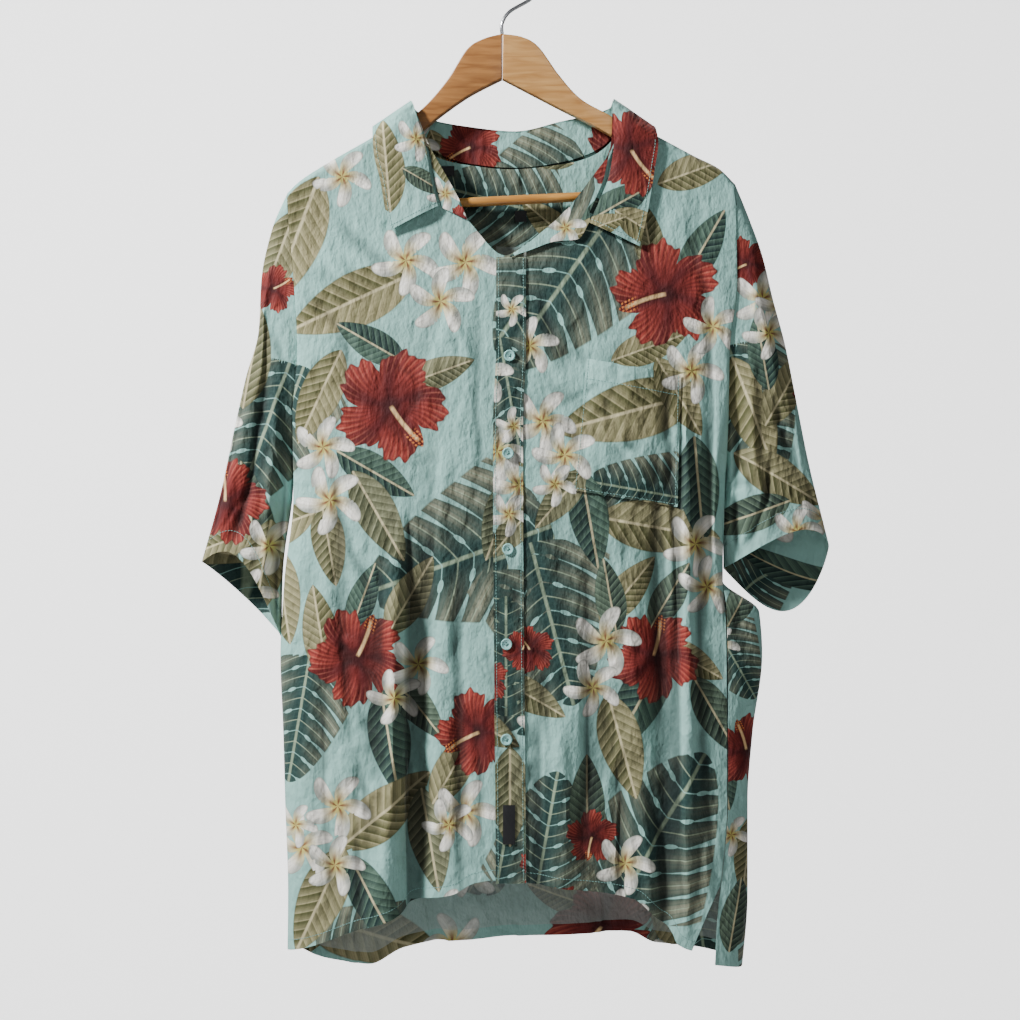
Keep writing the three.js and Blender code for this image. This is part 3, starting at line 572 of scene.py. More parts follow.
def sharpen(work, angle):
    for edge in work.edges:
        if edge.is_manifold and edge.calc_face_angle(0) > angle:
            edge.smooth = False


def shell(name, outer, cloth_at, prints, material, reverse, thick=SKIN, wrap=False, flip=False,
          printed_inside=None):
    """A thin closed cloth: outer[row, column] in mm; cloth_at is its place in the print."""
    n = normals(outer, wrap)
    if flip:
        n = -n
    inner = outer - n * thick
    rows, columns = outer.shape[:2]
    points = np.concatenate([outer.reshape(-1, 3), inner.reshape(-1, 3)])
    front, back, rim = shell_faces(rows, columns, wrap, flip)
    faces = np.concatenate([front, back, rim])
    mesh = bpy.data.meshes.new(name)
    mesh.from_pydata((points * MM).tolist(), [], faces.tolist())
    obj = linked(name, mesh)
    mesh.materials.append(material)
    mesh.materials.append(reverse)
    index = np.zeros(len(faces), int)
    inside = np.arange(len(front), 2 * len(front))
    index[inside] = 1
    if printed_inside is not None:
        shown = printed_inside(points[faces[inside]].mean(1))
        index[inside[shown]] = 0
    mesh.polygons.foreach_set("material_index", index.tolist())
    mesh.polygons.foreach_set("use_smooth", [True] * len(faces))
    # Painted shade in the troughs of the folds and painted light on their ridges, kept per outer point as a
    # factor on the colour; the inner points keep 1.
    light = painted_fold_shading(outer, n, wrap).ravel()
    painted_light_and_shade = mesh.attributes.new("painted_light_and_shade", "FLOAT", "POINT")
    painted_light_and_shade.data.foreach_set("value", np.concatenate([light, np.ones(rows * columns)]))
    lay_print(mesh, faces, np.concatenate([cloth_at.reshape(-1, 2)] * 2), prints)
    mesh.validate()
    mesh.update()
    work = bmesh.new()
    work.from_mesh(mesh)
    work.normal_update()
    sharpen(work, SHARP_FOLD)
    work.to_mesh(mesh)
    work.free()
    return obj


# ---- shader arithmetic ----
def linear(*rgb):
    """A linear colour from one in 0 to 255."""
    return tuple(((v / 255 + 0.055) / 1.055) ** 2.4 if v > 10 else v / 255 / 12.92 for v in rgb) + (1.0,)


class Num:
    """A number in a node tree, so patterns read as formulas."""

    def __init__(self, tree, socket):
        self.tree, self.socket = tree, socket

    def op(self, kind, *others, swap=False):
        node = self.tree.nodes.new("ShaderNodeMath")
        node.operation = kind
        values = [self, *others]
        if swap:
            values = [others[0], self]
        for i, value in enumerate(values):
            if isinstance(value, Num):
                self.tree.links.new(value.socket, node.inputs[i])
            else:
                node.inputs[i].default_value = value
        return Num(self.tree, node.outputs[0])

    def __add__(self, o): return self.op("ADD", o)
    def __radd__(self, o): return self.op("ADD", o)
    def __sub__(self, o): return self.op("SUBTRACT", o)
    def __rsub__(self, o): return self.op("SUBTRACT", o, swap=True)
    def __mul__(self, o): return self.op("MULTIPLY", o)
    def __rmul__(self, o): return self.op("MULTIPLY", o)
    def __truediv__(self, o): return self.op("DIVIDE", o)
    def __pow__(self, o): return self.op("POWER", o)
    def abs(self): return self.op("ABSOLUTE")
    def sin(self): return self.op("SINE")
    def cos(self): return self.op("COSINE")
    def sqrt(self): return self.op("SQRT")
    def frac(self): return self.op("FRACT")
    def top(self, o): return self.op("MAXIMUM", o)

    def ramp(self, low, high):
        node = self.tree.nodes.new("ShaderNodeMapRange")
        node.inputs[1].default_value, node.inputs[2].default_value = low, high
        self.tree.links.new(self.socket, node.inputs[0])
        return Num(self.tree, node.outputs[0])


def mix(tree, share, a, b):
    node = tree.nodes.new("ShaderNodeMix")
    node.data_type = "RGBA"
    for socket, value in ((node.inputs[0], share), (node.inputs[6], a), (node.inputs[7], b)):
        if isinstance(value, Num):
            tree.links.new(value.socket, socket)
        elif hasattr(value, "is_output"):
            tree.links.new(value, socket)
        else:
            socket.default_value = value
    return node.outputs[2]


def motif(name, draw):
    tree = bpy.data.node_groups.new(name, "ShaderNodeTree")
    tree.interface.new_socket("Place", in_out="INPUT", socket_type="NodeSocketVector")
    tree.interface.new_socket("Color", in_out="OUTPUT", socket_type="NodeSocketColor")
    tree.interface.new_socket("Mask", in_out="OUTPUT", socket_type="NodeSocketFloat")
    start = tree.nodes.new("NodeGroupInput")
    end = tree.nodes.new("NodeGroupOutput")
    split = tree.nodes.new("ShaderNodeSeparateXYZ")
    tree.links.new(start.outputs[0], split.inputs[0])
    u, v, tone = (Num(tree, split.outputs[i]) for i in range(3))
    colour, mask = draw(tree, u, v, tone)
    tree.links.new(colour, end.inputs[0])
    tree.links.new(mask.socket, end.inputs[1])
    return tree


def draw_plumeria(tree, u, v, tone):
    r = (u * u + v * v).sqrt()
    turn = v.op("ARCTAN2", u) + r * 0.55
    petal = (turn * 2.5).cos().abs()
    reach = petal ** 1.15 * 0.8 + 0.2
    lean = (turn * 5).sin()
    edge = reach - r
    shade = lean.ramp(-0.2, 0.9) * r.ramp(0.05, 0.5)
    colour = mix(tree, shade * 0.85, linear(238, 235, 226), linear(140, 146, 138))
    fine = (turn * 38).sin().ramp(0.3, 1.0) * r.ramp(0.25, 0.6)
    colour = mix(tree, fine * 0.22, colour, linear(150, 152, 140))
    vein = ((turn * 5).cos().ramp(0.90, 0.995)) * r.ramp(0.95, 0.3)
    colour = mix(tree, vein * 0.45, colour, linear(170, 165, 140))
    colour = mix(tree, r.ramp(0.6, 0.14) * 0.9, colour, linear(178, 164, 62))
    star = petal.ramp(0.7, 1.0) * r.ramp(0.46, 0.14)
    colour = mix(tree, star * 0.9, colour, linear(104, 40, 40))
    colour = mix(tree, edge.ramp(0.08, 0.0) * 0.75, colour, linear(104, 108, 96))
    return colour, edge.ramp(0.0, 0.03)


def draw_hibiscus(tree, u, v, tone):
    r = (u * u + v * v).sqrt()
    angle = v.op("ARCTAN2", u)
    turn = angle + r * 0.35
    petal = (turn * 2.5).cos().abs()
    reach = petal ** 0.55 * 0.34 + 0.57 + (turn * 17).sin() * 0.04 + (turn * 31).sin() * 0.025
    edge = reach - r
    lean = (turn * 5).sin()
    colour = mix(tree, r.ramp(0.12, 0.95), linear(78, 12, 14), linear(156, 58, 48))
    colour = mix(tree, lean.ramp(0.0, 0.95) * 0.85, colour, linear(72, 10, 14))
    veins = (turn * 47 + (r * 9).sin() * 0.8).sin()
    colour = mix(tree, veins.ramp(-0.2, 0.95) * r.ramp(0.12, 0.35) * 0.6, colour, linear(86, 16, 18))
    light = (turn * 47 + 2.4).sin().ramp(0.4, 1.0) * r.ramp(0.45, 0.95)
    colour = mix(tree, light * 0.45, colour, linear(206, 120, 98))
    colour = mix(tree, edge.ramp(0.06, 0.0) * 0.8, colour, linear(70, 12, 14))
    colour = mix(tree, r.ramp(0.2, 0.06), colour, linear(58, 8, 12))
    bent = v - u * u * 0.22
    stem = bent.abs().ramp(0.045, 0.02) * u.ramp(0.0, 0.06) * u.ramp(0.74, 0.66)
    colour = mix(tree, stem, colour, linear(222, 184, 132))
    dots = ((u * 52).sin() * (bent * 52).sin()).abs().ramp(0.45, 0.7)
    dots = dots * bent.abs().ramp(0.13, 0.10) * u.ramp(0.5, 0.56) * u.ramp(0.86, 0.8)
    colour = mix(tree, dots, colour, linear(206, 120, 62))
    return colour, edge.ramp(0.0, 0.025)


def draw_leaf(tree, u, v, tone):
    inside = (1 - u * u).top(0.0)
    wide = inside ** 0.75 * (0.40 - u * 0.09)
    side = v.abs()
    edge = wide - side
    along = (u - side * 0.85) * 5.6
    step = along.frac()
    vein = (step - 0.5).abs().ramp(0.40, 0.49)
    pale = mix(tree, tone, linear(168, 158, 118), linear(84, 110, 94))
    deep = mix(tree, tone, linear(80, 80, 44), linear(14, 38, 38))
    half = v.ramp(-0.02, 0.02)
    shade = step * 0.75 + half * 0.35 + side * 0.5 - 0.25
    colour = mix(tree, shade.ramp(0.0, 1.0), deep, pale)
    fine = (along * 28).sin().ramp(0.0, 1.0)
    colour = mix(tree, fine * 0.22, colour, deep)
    colour = mix(tree, vein * 0.75, colour, pale)
    colour = mix(tree, side.ramp(0.030, 0.012) * 0.8, colour, linear(196, 186, 148))
    colour = mix(tree, edge.ramp(0.035, 0.0) * 0.7, colour, deep)
    return colour, edge.ramp(0.0, 0.02)


def draw_monstera(tree, u, v, tone):
    wide = ((1 - u).top(0.0) * 0.58) ** 0.55 * u.ramp(-1.0, -0.62) ** 0.5 * 0.92
    side = v.abs()
    edge = wide - side
    along = (u - side * 0.35 - side * side * 0.55) * 2.9
    step = along.frac()
    off = (step - 0.5).abs()
    share = side / (wide + 0.02)
    split = (off - share.ramp(0.42, 1.0) * 0.13).ramp(0.0, 0.03)
    hole_x = off / 0.09
    hole_y = (side - 0.19) / 0.06
    hole = (hole_x * hole_x + hole_y * hole_y).ramp(0.9, 1.1)
    colour = mix(tree, side.ramp(0.08, 0.85), linear(28, 56, 54), linear(150, 150, 126))
    colour = mix(tree, off.ramp(0.46, 0.1) * 0.75, colour, linear(34, 60, 56))
    lines = (along * 31).sin().ramp(0.1, 1.0)
    colour = mix(tree, lines * 0.42, colour, linear(46, 72, 66))
    colour = mix(tree, off.ramp(0.465, 0.495) * 0.8, colour, linear(150, 166, 140))
    colour = mix(tree, side.ramp(0.028, 0.012) * 0.8, colour, linear(140, 158, 132))
    colour = mix(tree, edge.ramp(0.05, 0.0) * 0.5, colour, linear(60, 70, 58))
    return colour, edge.ramp(0.0, 0.02) * split * hole


DRAWN = dict(monstera=draw_monstera, leaf=draw_leaf, hibiscus=draw_hibiscus, plumeria=draw_plumeria)
MOTIFS = {kind: motif(kind, draw) for kind, draw in DRAWN.items()}
GROUND = (142, 186, 178)
# From the lowest layer of the print to the top one
ORDER = ["monstera_2", "monstera_1", "leaf_2", "leaf_1", "hibiscus_1", "plumeria_2", "plumeria_1"]


def noise(tree, scale, detail_steps, stretch=None):
    place = tree.nodes.new("ShaderNodeTexCoord").outputs["Object"]
    if stretch:
        mapping = tree.nodes.new("ShaderNodeMapping")
        mapping.inputs["Scale"].default_value = stretch
        tree.links.new(place, mapping.inputs[0])
        place = mapping.outputs[0]
    node = tree.nodes.new("ShaderNodeTexNoise")
    node.inputs["Scale"].default_value = scale
    node.inputs["Detail"].default_value = detail_steps
    tree.links.new(place, node.inputs["Vector"])
    return Num(tree, node.outputs[0])


def new_material(name):
    material = bpy.data.materials.new(name)
    material.use_nodes = True
    tree = material.node_tree
    return material, tree, tree.nodes["Principled BSDF"]


def cloth_material(name, reverse=False):
    material, tree, shader = new_material(name)
    mottle = noise(tree, 26, 2)
    colour = mix(tree, mottle.ramp(0.3, 0.7) * 0.5, linear(*GROUND), linear(*(v - 10 for v in GROUND)))
    for label in ORDER:
        attribute = tree.nodes.new("ShaderNodeAttribute")
        attribute.attribute_name = label
        group = tree.nodes.new("ShaderNodeGroup")
        group.node_tree = MOTIFS[label[:-2]]
        tree.links.new(attribute.outputs["Vector"], group.inputs[0])
        colour = mix(tree, Num(tree, group.outputs[1]), colour, group.outputs[0])
    if reverse:
        fade = mottle * 0.1 + 0.46
        colour = mix(tree, fade, colour, linear(166, 176, 172))
    # Painted shade and light: the colour is scaled by the fold factor, darker in troughs and lighter on ridges.
    painted_light_and_shade = tree.nodes.new("ShaderNodeAttribute")
    painted_light_and_shade.attribute_name = "painted_light_and_shade"
    colour_with_painted_shade = tree.nodes.new("ShaderNodeVectorMath")
    colour_with_painted_shade.operation = "SCALE"
    tree.links.new(colour, colour_with_painted_shade.inputs[0])
    tree.links.new(painted_light_and_shade.outputs["Fac"], colour_with_painted_shade.inputs["Scale"])
    tree.links.new(colour_with_painted_shade.outputs[0], shader.inputs["Base Color"])
    shader.inputs["Roughness"].default_value = 0.72
    shader.inputs["Specular IOR Level"].default_value = 0.28
    shader.inputs["Sheen Weight"].default_value = 0.18
    shader.inputs["Sheen Roughness"].default_value = 0.45
    ridged = (noise(tree, 34, 4, (1.0, 1.0, 0.7)) - 0.5).abs() * -1.6
    crinkle = ridged + noise(tree, 75, 3, (1.0, 1.0, 0.45)) + noise(tree, 210, 2, (1.0, 1.0, 0.6)) * 0.35
    bump = tree.nodes.new("ShaderNodeBump")
    bump.inputs["Strength"].default_value = 1.0
    bump.inputs["Distance"].default_value = 0.0034
    tree.links.new(crinkle.socket, bump.inputs["Height"])
    tree.links.new(bump.outputs[0], shader.inputs["Normal"])
    return material


def plain_material(name, colour, roughness, metallic=0.0, coat=0.0):
    material, tree, shader = new_material(name)
    speck = noise(tree, 60, 2)
    darker = linear(*(max(0, v - 8) for v in colour))
    shade = mix(tree, speck.ramp(0.35, 0.65) * 0.5, linear(*colour), darker)
    tree.links.new(shade, shader.inputs["Base Color"])
    shader.inputs["Roughness"].default_value = roughness
    shader.inputs["Metallic"].default_value = metallic
    shader.inputs["Coat Weight"].default_value = coat
    return material


def wood_material(name, light, dark, turn):
    material, tree, shader = new_material(name)
    place = tree.nodes.new("ShaderNodeTexCoord").outputs["Object"]
    mapping = tree.nodes.new("ShaderNodeMapping")
    mapping.inputs["Rotation"].default_value = (0, math.radians(turn), 0)
    mapping.inputs["Scale"].default_value = (14, 90, 130)
    tree.links.new(place, mapping.inputs[0])
    grain = tree.nodes.new("ShaderNodeTexNoise")
    grain.inputs["Scale"].default_value = 1.6
    grain.inputs["Detail"].default_value = 5
    grain.inputs["Distortion"].default_value = 0.6
    tree.links.new(mapping.outputs[0], grain.inputs["Vector"])
    lines = Num(tree, grain.outputs[0])
    broad = noise(tree, 18, 2)
    shade = (lines.ramp(0.35, 0.68) * 0.75 + broad * 0.3).ramp(0.05, 0.95)
    colour = mix(tree, shade, linear(*light), linear(*dark))
    tree.links.new(colour, shader.inputs["Base Color"])
    shader.inputs["Roughness"].default_value = 0.38
    shader.inputs["Coat Weight"].default_value = 0.35
    shader.inputs["Coat Roughness"].default_value = 0.25
    return material


PRINTED = cloth_material("printed_cloth")
REVERSE = cloth_material("cloth_reverse", reverse=True)
THREAD = plain_material("thread", (128, 172, 166), 0.8)
BLACK = plain_material("black_ribbon", (22, 23, 26), 0.55)
SHELL = plain_material("button_plastic", (150, 206, 202), 0.25, coat=0.3)
# Painted shade: the dark colour of flat discs that stand for the shaded insides of the buttons' holes.
HOLE_SHADE = plain_material("painted_hole_shade", (40, 66, 66), 0.8)
WOOD_L = wood_material("wood_left", (176, 122, 66), (126, 78, 36), -32)
WOOD_R = wood_material("wood_right", (204, 156, 94), (168, 116, 60), 32)
WOOD_BAR = wood_material("wood_bar", (206, 150, 74), (164, 106, 42), 3)
STEEL = plain_material("steel_wire", (190, 192, 196), 0.22, metallic=1.0)

GROWTH = {"hibiscus": 1.05, "plumeria": 1.18, "monstera": 1.08, "leaf": 1.14}


def grown(prints):
    """The motifs a little larger than in the tables, so that they overlap."""
    return {kind: [(*r[:2], r[2] * GROWTH[kind], *r[3:]) for r in rows] for kind, rows in prints.items()}


FRONT_PRINT = grown(dict(hibiscus=HIBISCUS, plumeria=PLUMERIA, monstera=MONSTERA, leaf=LEAF))
SLEEVE_L_PRINT = grown(SLEEVE_L_PRINT)
SLEEVE_R_PRINT = grown(SLEEVE_R_PRINT)


def moved(prints, dx, dz):
    return {kind: [(r[0] + dx, r[1] + dz, *r[2:]) for r in rows] for kind, rows in prints.items()}


def joined(*prints):
    return {kind: sum((p.get(kind, []) for p in prints), []) for kind in GROWTH}


def cleared(prints, low, high, floor):
    """The print without the flowers in a stretch above a height."""
    return {kind: [r for r in rows if kind in ("leaf", "monstera") or not (low < r[0] < high and r[1] > floor)]
            for kind, rows in prints.items()}


# The strip of the back that shows in front, then the hidden back with the same repeat.
WRAP_PRINT = dict(
    hibiscus=[(238, -796, 40, 100)],
    plumeria=[(212, -690, 20, 20), (222, -880, 22, 10)],
    monstera=[(226, -706, 44, 300)],
    leaf=[(236, -640, 36, 60, 0.9), (214, -820, 36, 280, 1), (240, -900, 40, 260, 0.2),
          (226, -960, 38, 80, 0.9)],
)
NECK_PRINT = dict(monstera=[(470, -238, 66, 15)], leaf=[(416, -262, 40, 40, 0.2)])
BACK_PRINT = joined(cleared(moved(FRONT_PRINT, 500, 230), 370, 560, -310),
                    moved(FRONT_PRINT, 500, -540), WRAP_PRINT, NECK_PRINT)
PLACKET_PRINT = joined(moved(FRONT_PRINT, -46, -30), dict(
    hibiscus=[(12, -694, 22, 60)], plumeria=[(2, -352, 18, 10), (4, -470, 20, 50)],
    monstera=[(0, -440, 60, 280), (-4, -700, 60, 90)], leaf=[(0, -840, 50, 270, 0.4)]))


# ---- panels ----
def place_of(x, z):
    left, right = read(BODY, z, 1), read(BODY, z, 2)
    return across((2 * x - left - right) / (right - left))


def seam_place(z):
    """Where the back begins: at the right side, and below the sleeve at the seam in front."""
    left, right = read(BODY, z, 1), read(BODY, z, 2)
    u = (2 * read(SEAM, z) - left - right) / (right - left)
    return np.where((z > SEAM[0][0]) | (u >= 1), 1.0, across(u) + SEAM_STEP)


def neck_top(x, neck):
    return np.where((x > NECK_LEFT) & (x < NECK_RIGHT), read(neck, x), read(SHOULDER, x))


# Shares of the way from the top to the hem, closer together at the top
ROWS = np.concatenate([[0, .0008, .002, .004, .007, .011, .016, .022], np.linspace(0.028, 1, 205)])


def panel_points(place_at, neck, hem, places, is_back):
    """A panel's points, and their places round the body, for its columns' shares of the width."""
    def settle(edge):
        z = np.full(len(places), -400.0)
        for _ in range(14):
            z = edge(body_xy(place_at(places, z), z, is_back)[0])
        return z

    high = settle(lambda x: neck_top(x, neck))
    low = settle(lambda x: read(hem, x))
    z = high[None] + (low - high)[None] * ROWS[:, None]
    s = place_at(places[None], z)
    x, y = body_xy(s, z, is_back)
    return np.stack([x, y, z], 2), s


def left_place(u, z):
    return lerp(-1.0, place_of(read(PLACKET_LINE, z) + PLACKET_HALF - 2, z), u)


def back_place(u, z):
    """The first columns are the strip that wraps round to the front, the others the back itself."""
    turn = np.minimum(seam_place(z), STRIP_LIMIT)
    return np.where(u < STRIP, lerp(turn, 1.0, u / STRIP), lerp(1.0, 3.0, (u - STRIP) / (1 - STRIP)))


NECK_Z = np.array(SHOULDER[4][1], float)
left_extra = [(place_of(x, NECK_Z) + 1) / (left_place(1.0, NECK_Z) + 1) for x in (-104, -102)]
left_columns = np.unique(np.append(np.linspace(0, 1, 76), left_extra))
back_extra = [STRIP + (1 - STRIP) * (1 - place_of(x, NECK_Z)) / 2 for x in (112, 110, -102, -104)]
back_columns = np.unique(np.append(np.linspace(0, 1, 150), back_extra))


def turned_hem(width, hem):
    return lambda centre: centre[:, 2] < read(hem, centre[:, 0]) + width


points = panel_points(left_place, FRONT_NECK, FRONT_HEM, left_columns, False)[0]
front_left = shell("look_front_left", points, points[..., [0, 2]], FRONT_PRINT, PRINTED, REVERSE, flip=True,
                   printed_inside=turned_hem(12, FRONT_HEM))
FRONT_LEFT = points

# The right front is laid out by its width, closer together towards the seam.
spread = np.union1d(np.linspace(0, 1, 72), [0.292, 0.299])
across_front = np.sin(spread * math.pi / 2)[None]


def right_x(z):
    left = read(PLACKET_LINE, z) + PLACKET_HALF + GAP
    vent = VENT_SLANT * np.maximum(0, VENT_TOP - z)
    seam = np.where(z > SEAM[0][0], np.inf, read(SEAM, z) - vent - SEAM_GAP)
    edge = np.minimum(read(BODY, z, 2), seam)
    return lerp(left, edge, across_front)


high = np.full(across_front.shape, -400.0)
low = np.full(across_front.shape, -940.0)
for _ in range(14):
    high, low = neck_top(right_x(high), FRONT_NECK), read(FRONT_HEM, right_x(low))
z = high + (low - high) * ROWS[:, None]
x = right_x(z)
points = np.stack([x, on_body(x, z, -1), z], 2)
front_right = shell("look_front_right", points, points[..., [0, 2]], FRONT_PRINT, PRINTED, REVERSE, flip=True,
                    printed_inside=turned_hem(12, FRONT_HEM))
FRONT_RIGHT = points
points, s = panel_points(back_place, BACK_NECK, BACK_HEM, back_columns, True)
folded = np.where(s > 1, 2 * read(BODY, points[..., 2], 2) - points[..., 0], points[..., 0])


def back_inside(centre):
    low = centre[:, 2] < read(BACK_HEM, centre[:, 0]) + 13
    return low | ((centre[:, 2] > -285) & (centre[:, 1] > 0))


back = shell("look_back", points, np.stack([folded, points[..., 2]], 2), BACK_PRINT, PRINTED, REVERSE, flip=True,
             printed_inside=back_inside)
BACK = points


# ---- sleeves ----
SLEEVE_COUNT = 120
HALF_SLEEVE = slice(62, 118)  # the columns of its front


def sleeve_points(side, sign, hem, drop, skew, outer):
    """A sleeve as rings down from the armhole: u goes round it and v down it."""
    column = 1 if sign < 0 else 2
    u = np.arange(SLEEVE_COUNT)[None] / SLEEVE_COUNT
    v = np.concatenate([[0, .001, .003, .006], np.linspace(0.01, 1, SLEEVE_COUNT)])[:, None]
    u, v = np.broadcast_arrays(u, v)
    angle = 2 * math.pi * u
    w = (1 - np.cos(angle)) / 2
    half = np.sin(angle)
    top_x, top_z = read(outer, v, 1), read(outer, v, 2)
    foot_z = lerp(UNDERARM_Z + 6, hem[1], v)
    foot_x = lerp(read(BODY, foot_z, column) + sign * SLEEVE_GAP, hem[0], smooth(v))
    tip_x, tip_z = outer[0][1], outer[0][2]
    first_z = UNDERARM_Z + 6
    first_x = read(BODY, np.array(float(first_z)), column) + sign * SLEEVE_GAP
    seam_z = lerp(tip_z, first_z, w)
    seam_x = read(BODY, seam_z, column) + sign * GAP
    stay = (1 - np.minimum(1, 3 * v)) ** 2
    bow = np.sin(math.pi * w ** np.where(half < 0, skew[0], skew[1]))
    fall = v * v * bow * np.where(half < 0, drop[0], drop[1])
    x = lerp(top_x, foot_x, w) + stay * (seam_x - lerp(tip_x, first_x, w))
    z = lerp(top_z, foot_z, w) + fall
    at_seam = np.sign(half) * stand_out(seam_x - sign, seam_z, 0.0, 0.0)
    y = lerp(half * lerp(ARMHOLE_DEPTH, SLEEVE_DEPTH, v), at_seam, stay)
    rise = crease_rise([(a * 300, b * 400, c * 300, d * 400, e * 300, f)
                        for a, b, c, d, e, f in SLEEVE_CREASES[side]], u * 300, v * 400)
    draw = np.random.default_rng(21 if sign < 0 else 22)
    small = [(draw.uniform(0, 300), draw.uniform(120, 380), draw.uniform(0, 300), draw.uniform(120, 400),
              draw.uniform(3, 6), draw.uniform(0.5, 1.3) * draw.choice([-1, 1])) for _ in range(26)]
    small = [r for r in small if abs(r[0] - r[2]) < 70 and 20 < abs(r[1] - r[3])]
    rise = (rise + crease_rise(small, u * 300, v * 400)) * smooth(v * 6) * smooth(np.abs(half) * 3)
    y = y + np.sign(half) * 1.5 * rise
    cloth_x = np.where(half > 0, 2 * top_x - x, x)
    return np.stack([x, y, z], 2), np.stack([cloth_x, z], 2)


def cuff(points, width):
    hem = points[-1][None, :, [0, 2]]
    return lambda centre: np.linalg.norm(centre[:, None, [0, 2]] - hem, axis=2).min(1) < width


points, cloth_at = sleeve_points("left", -1, (-232.4, -683), (42, 2), (1, 1), SLEEVE_L)
sleeve_left = shell("look_sleeve_left", points, cloth_at, SLEEVE_L_PRINT, PRINTED, REVERSE, wrap=True,
                    printed_inside=cuff(points, 25))
LEFT = points
points, cloth_at = sleeve_points("right", 1, (217.4, -613), (24, -58), (0.6, 0.7), SLEEVE_R)
sleeve_right = shell("look_sleeve_right", points, cloth_at, SLEEVE_R_PRINT, PRINTED, REVERSE, wrap=True,
                     flip=True, printed_inside=cuff(points, 60))
RIGHT = points


# ---- collar ----
def laid(x, z, side, lift):
    front = np.abs(on_body(x, z, -1, lift, 0.3))
    behind = np.abs(on_body(x, z, 1, lift, 0.3))
    return side * np.maximum(np.where(side < 0, front, behind), COLLAR_HOLD + lift)


def collar_points(rows, leaf):
    """The collar along its ribs, from the roll to the leaf's edge or to the neck seam."""
    k = np.linspace(0, COLLAR[-1][0], 180)[None]
    v = np.linspace(0, 1, rows)[:, None]
    k, v = np.broadcast_arrays(k, v)
    side, roll_x, roll_z, edge_x, edge_z, foot_x, foot_z = (read(COLLAR, k, i) for i in range(1, 8))
    if leaf:
        x, z = lerp(roll_x, edge_x, v), lerp(roll_z, edge_z, v)
        y = laid(x, z, side, LEAF_LIFT + 5 * np.sin(math.pi * v) * (1 - v))
    else:
        length = np.hypot(foot_x - roll_x, foot_z - roll_z)
        along = lerp(ROLL_GAP / length, 1, v)
        x, z = lerp(roll_x * STAND_TUCK, foot_x, along), lerp(roll_z, foot_z, along)
        y = laid(x, z, side, STAND_LIFT)
    return np.stack([x, y, z], 2)


points = collar_points(20, True)
collar_leaf = shell("look_collar_leaf", points, points[..., [0, 2]], COLLAR_PRINT, PRINTED, PRINTED,
                    thick=COLLAR_THICK)
LEAF_POINTS = points
points = collar_points(16, False)
collar_stand = shell("look_collar_stand", points, points[..., [0, 2]], COLLAR_PRINT, PRINTED, PRINTED,
                     thick=COLLAR_THICK, flip=True)

# ---- the facing that turns out at the right of the neck: t, x, z ----
FLAP_TOP = [(0, 80, -247), (0.25, 62, -248), (0.5, 44, -263), (0.75, 20, -283), (1, 0, -297.5)]
FLAP_EDGE = [(0, 81, -262), (0.2, 68, -281), (0.45, 46, -283), (0.75, 20, -292), (1, 0, -299)]
t = np.linspace(0, 1, 60)[None]
v = np.linspace(0, 1, 10)[:, None]
x = lerp(read(FLAP_TOP, t, 1), read(FLAP_EDGE, t, 1), v)
z = lerp(read(FLAP_TOP, t, 2), read(FLAP_EDGE, t, 2), v)
y = on_body(x, z, -1, 2.4 + 1.2 * v, 0.3)
points = np.stack([x, y, z], 2)
flap = shell("look_flap", points, points[..., [0, 2]], COLLAR_PRINT, PRINTED, PRINTED)

# ---- placket and pocket ----
v = np.linspace(0, 1, 210)[:, None]
u = np.linspace(0, 1, 11)[None]
z = lerp(PLACKET_TOP, PLACKET_FOOT, v) + 0 * u
x = read(PLACKET_LINE, z) + PLACKET_HALF * (2 * u - 1)
pucker = 0.35 * np.sin(z / 3.1 + 2 * np.sin(z / 17)) * (2 * np.abs(u - 0.5)) ** 3
points = np.stack([x, on_body(x, z, -1, CLOTH + LAY) - pucker, z], 2)
placket = shell("look_placket", points, points[..., [0, 2]], PLACKET_PRINT, PRINTED, REVERSE, flip=True)
PLACKET = points

POCKET = [(77, -402), (172, -419), (63, -534), (168, -551)]
v = np.linspace(0, 1, 44)[:, None]
u = np.linspace(0, 1, 34)[None]
x = lerp(lerp(POCKET[0][0], POCKET[1][0], u), lerp(POCKET[2][0], POCKET[3][0], u), v)
z = lerp(lerp(POCKET[0][1], POCKET[1][1], u), lerp(POCKET[2][1], POCKET[3][1], u), v)
bulge = 9 * np.sin(math.pi * u) * (1 - v) ** 0.7
crumple = crease_rise([
    (80, -430, 130, -500, 7, -2.2), (100, -420, 150, -470, 6, 2), (84, -470, 150, -520, 6, 2.2),
    (80, -510, 140, -480, 5, -1.8), (130, -440, 156, -530, 6, -2), (96, -450, 90, -530, 5, 1.8),
    (120, -500, 160, -545, 5, 1.8), (70, -500, 110, -540, 5, -1.6),
], x, z) * np.sin(math.pi * u) * np.sin(math.pi * v) ** 0.5
y = on_body(x, z, -1, CLOTH + 2 * LAY) - bulge - np.maximum(crumple, -1.0)
points = np.stack([x, y, z], 2)
pocket = shell("look_pocket", points, points[..., [0, 2]], FRONT_PRINT, PRINTED, REVERSE, flip=True)
POCKET_POINTS = points


# ---- small things ----
def mesh_object(name, points, faces, materials, index=None):
    mesh = bpy.data.meshes.new(name)
    mesh.from_pydata([tuple(p) for p in np.asarray(points, float) * MM], [], [tuple(f) for f in faces])
    for material in materials:
        mesh.materials.append(material)
    if index is not None:
        mesh.polygons.foreach_set("material_index", index)
    mesh.polygons.foreach_set("use_smooth", [True] * len(faces))
    mesh.update()
    return linked(name, mesh)


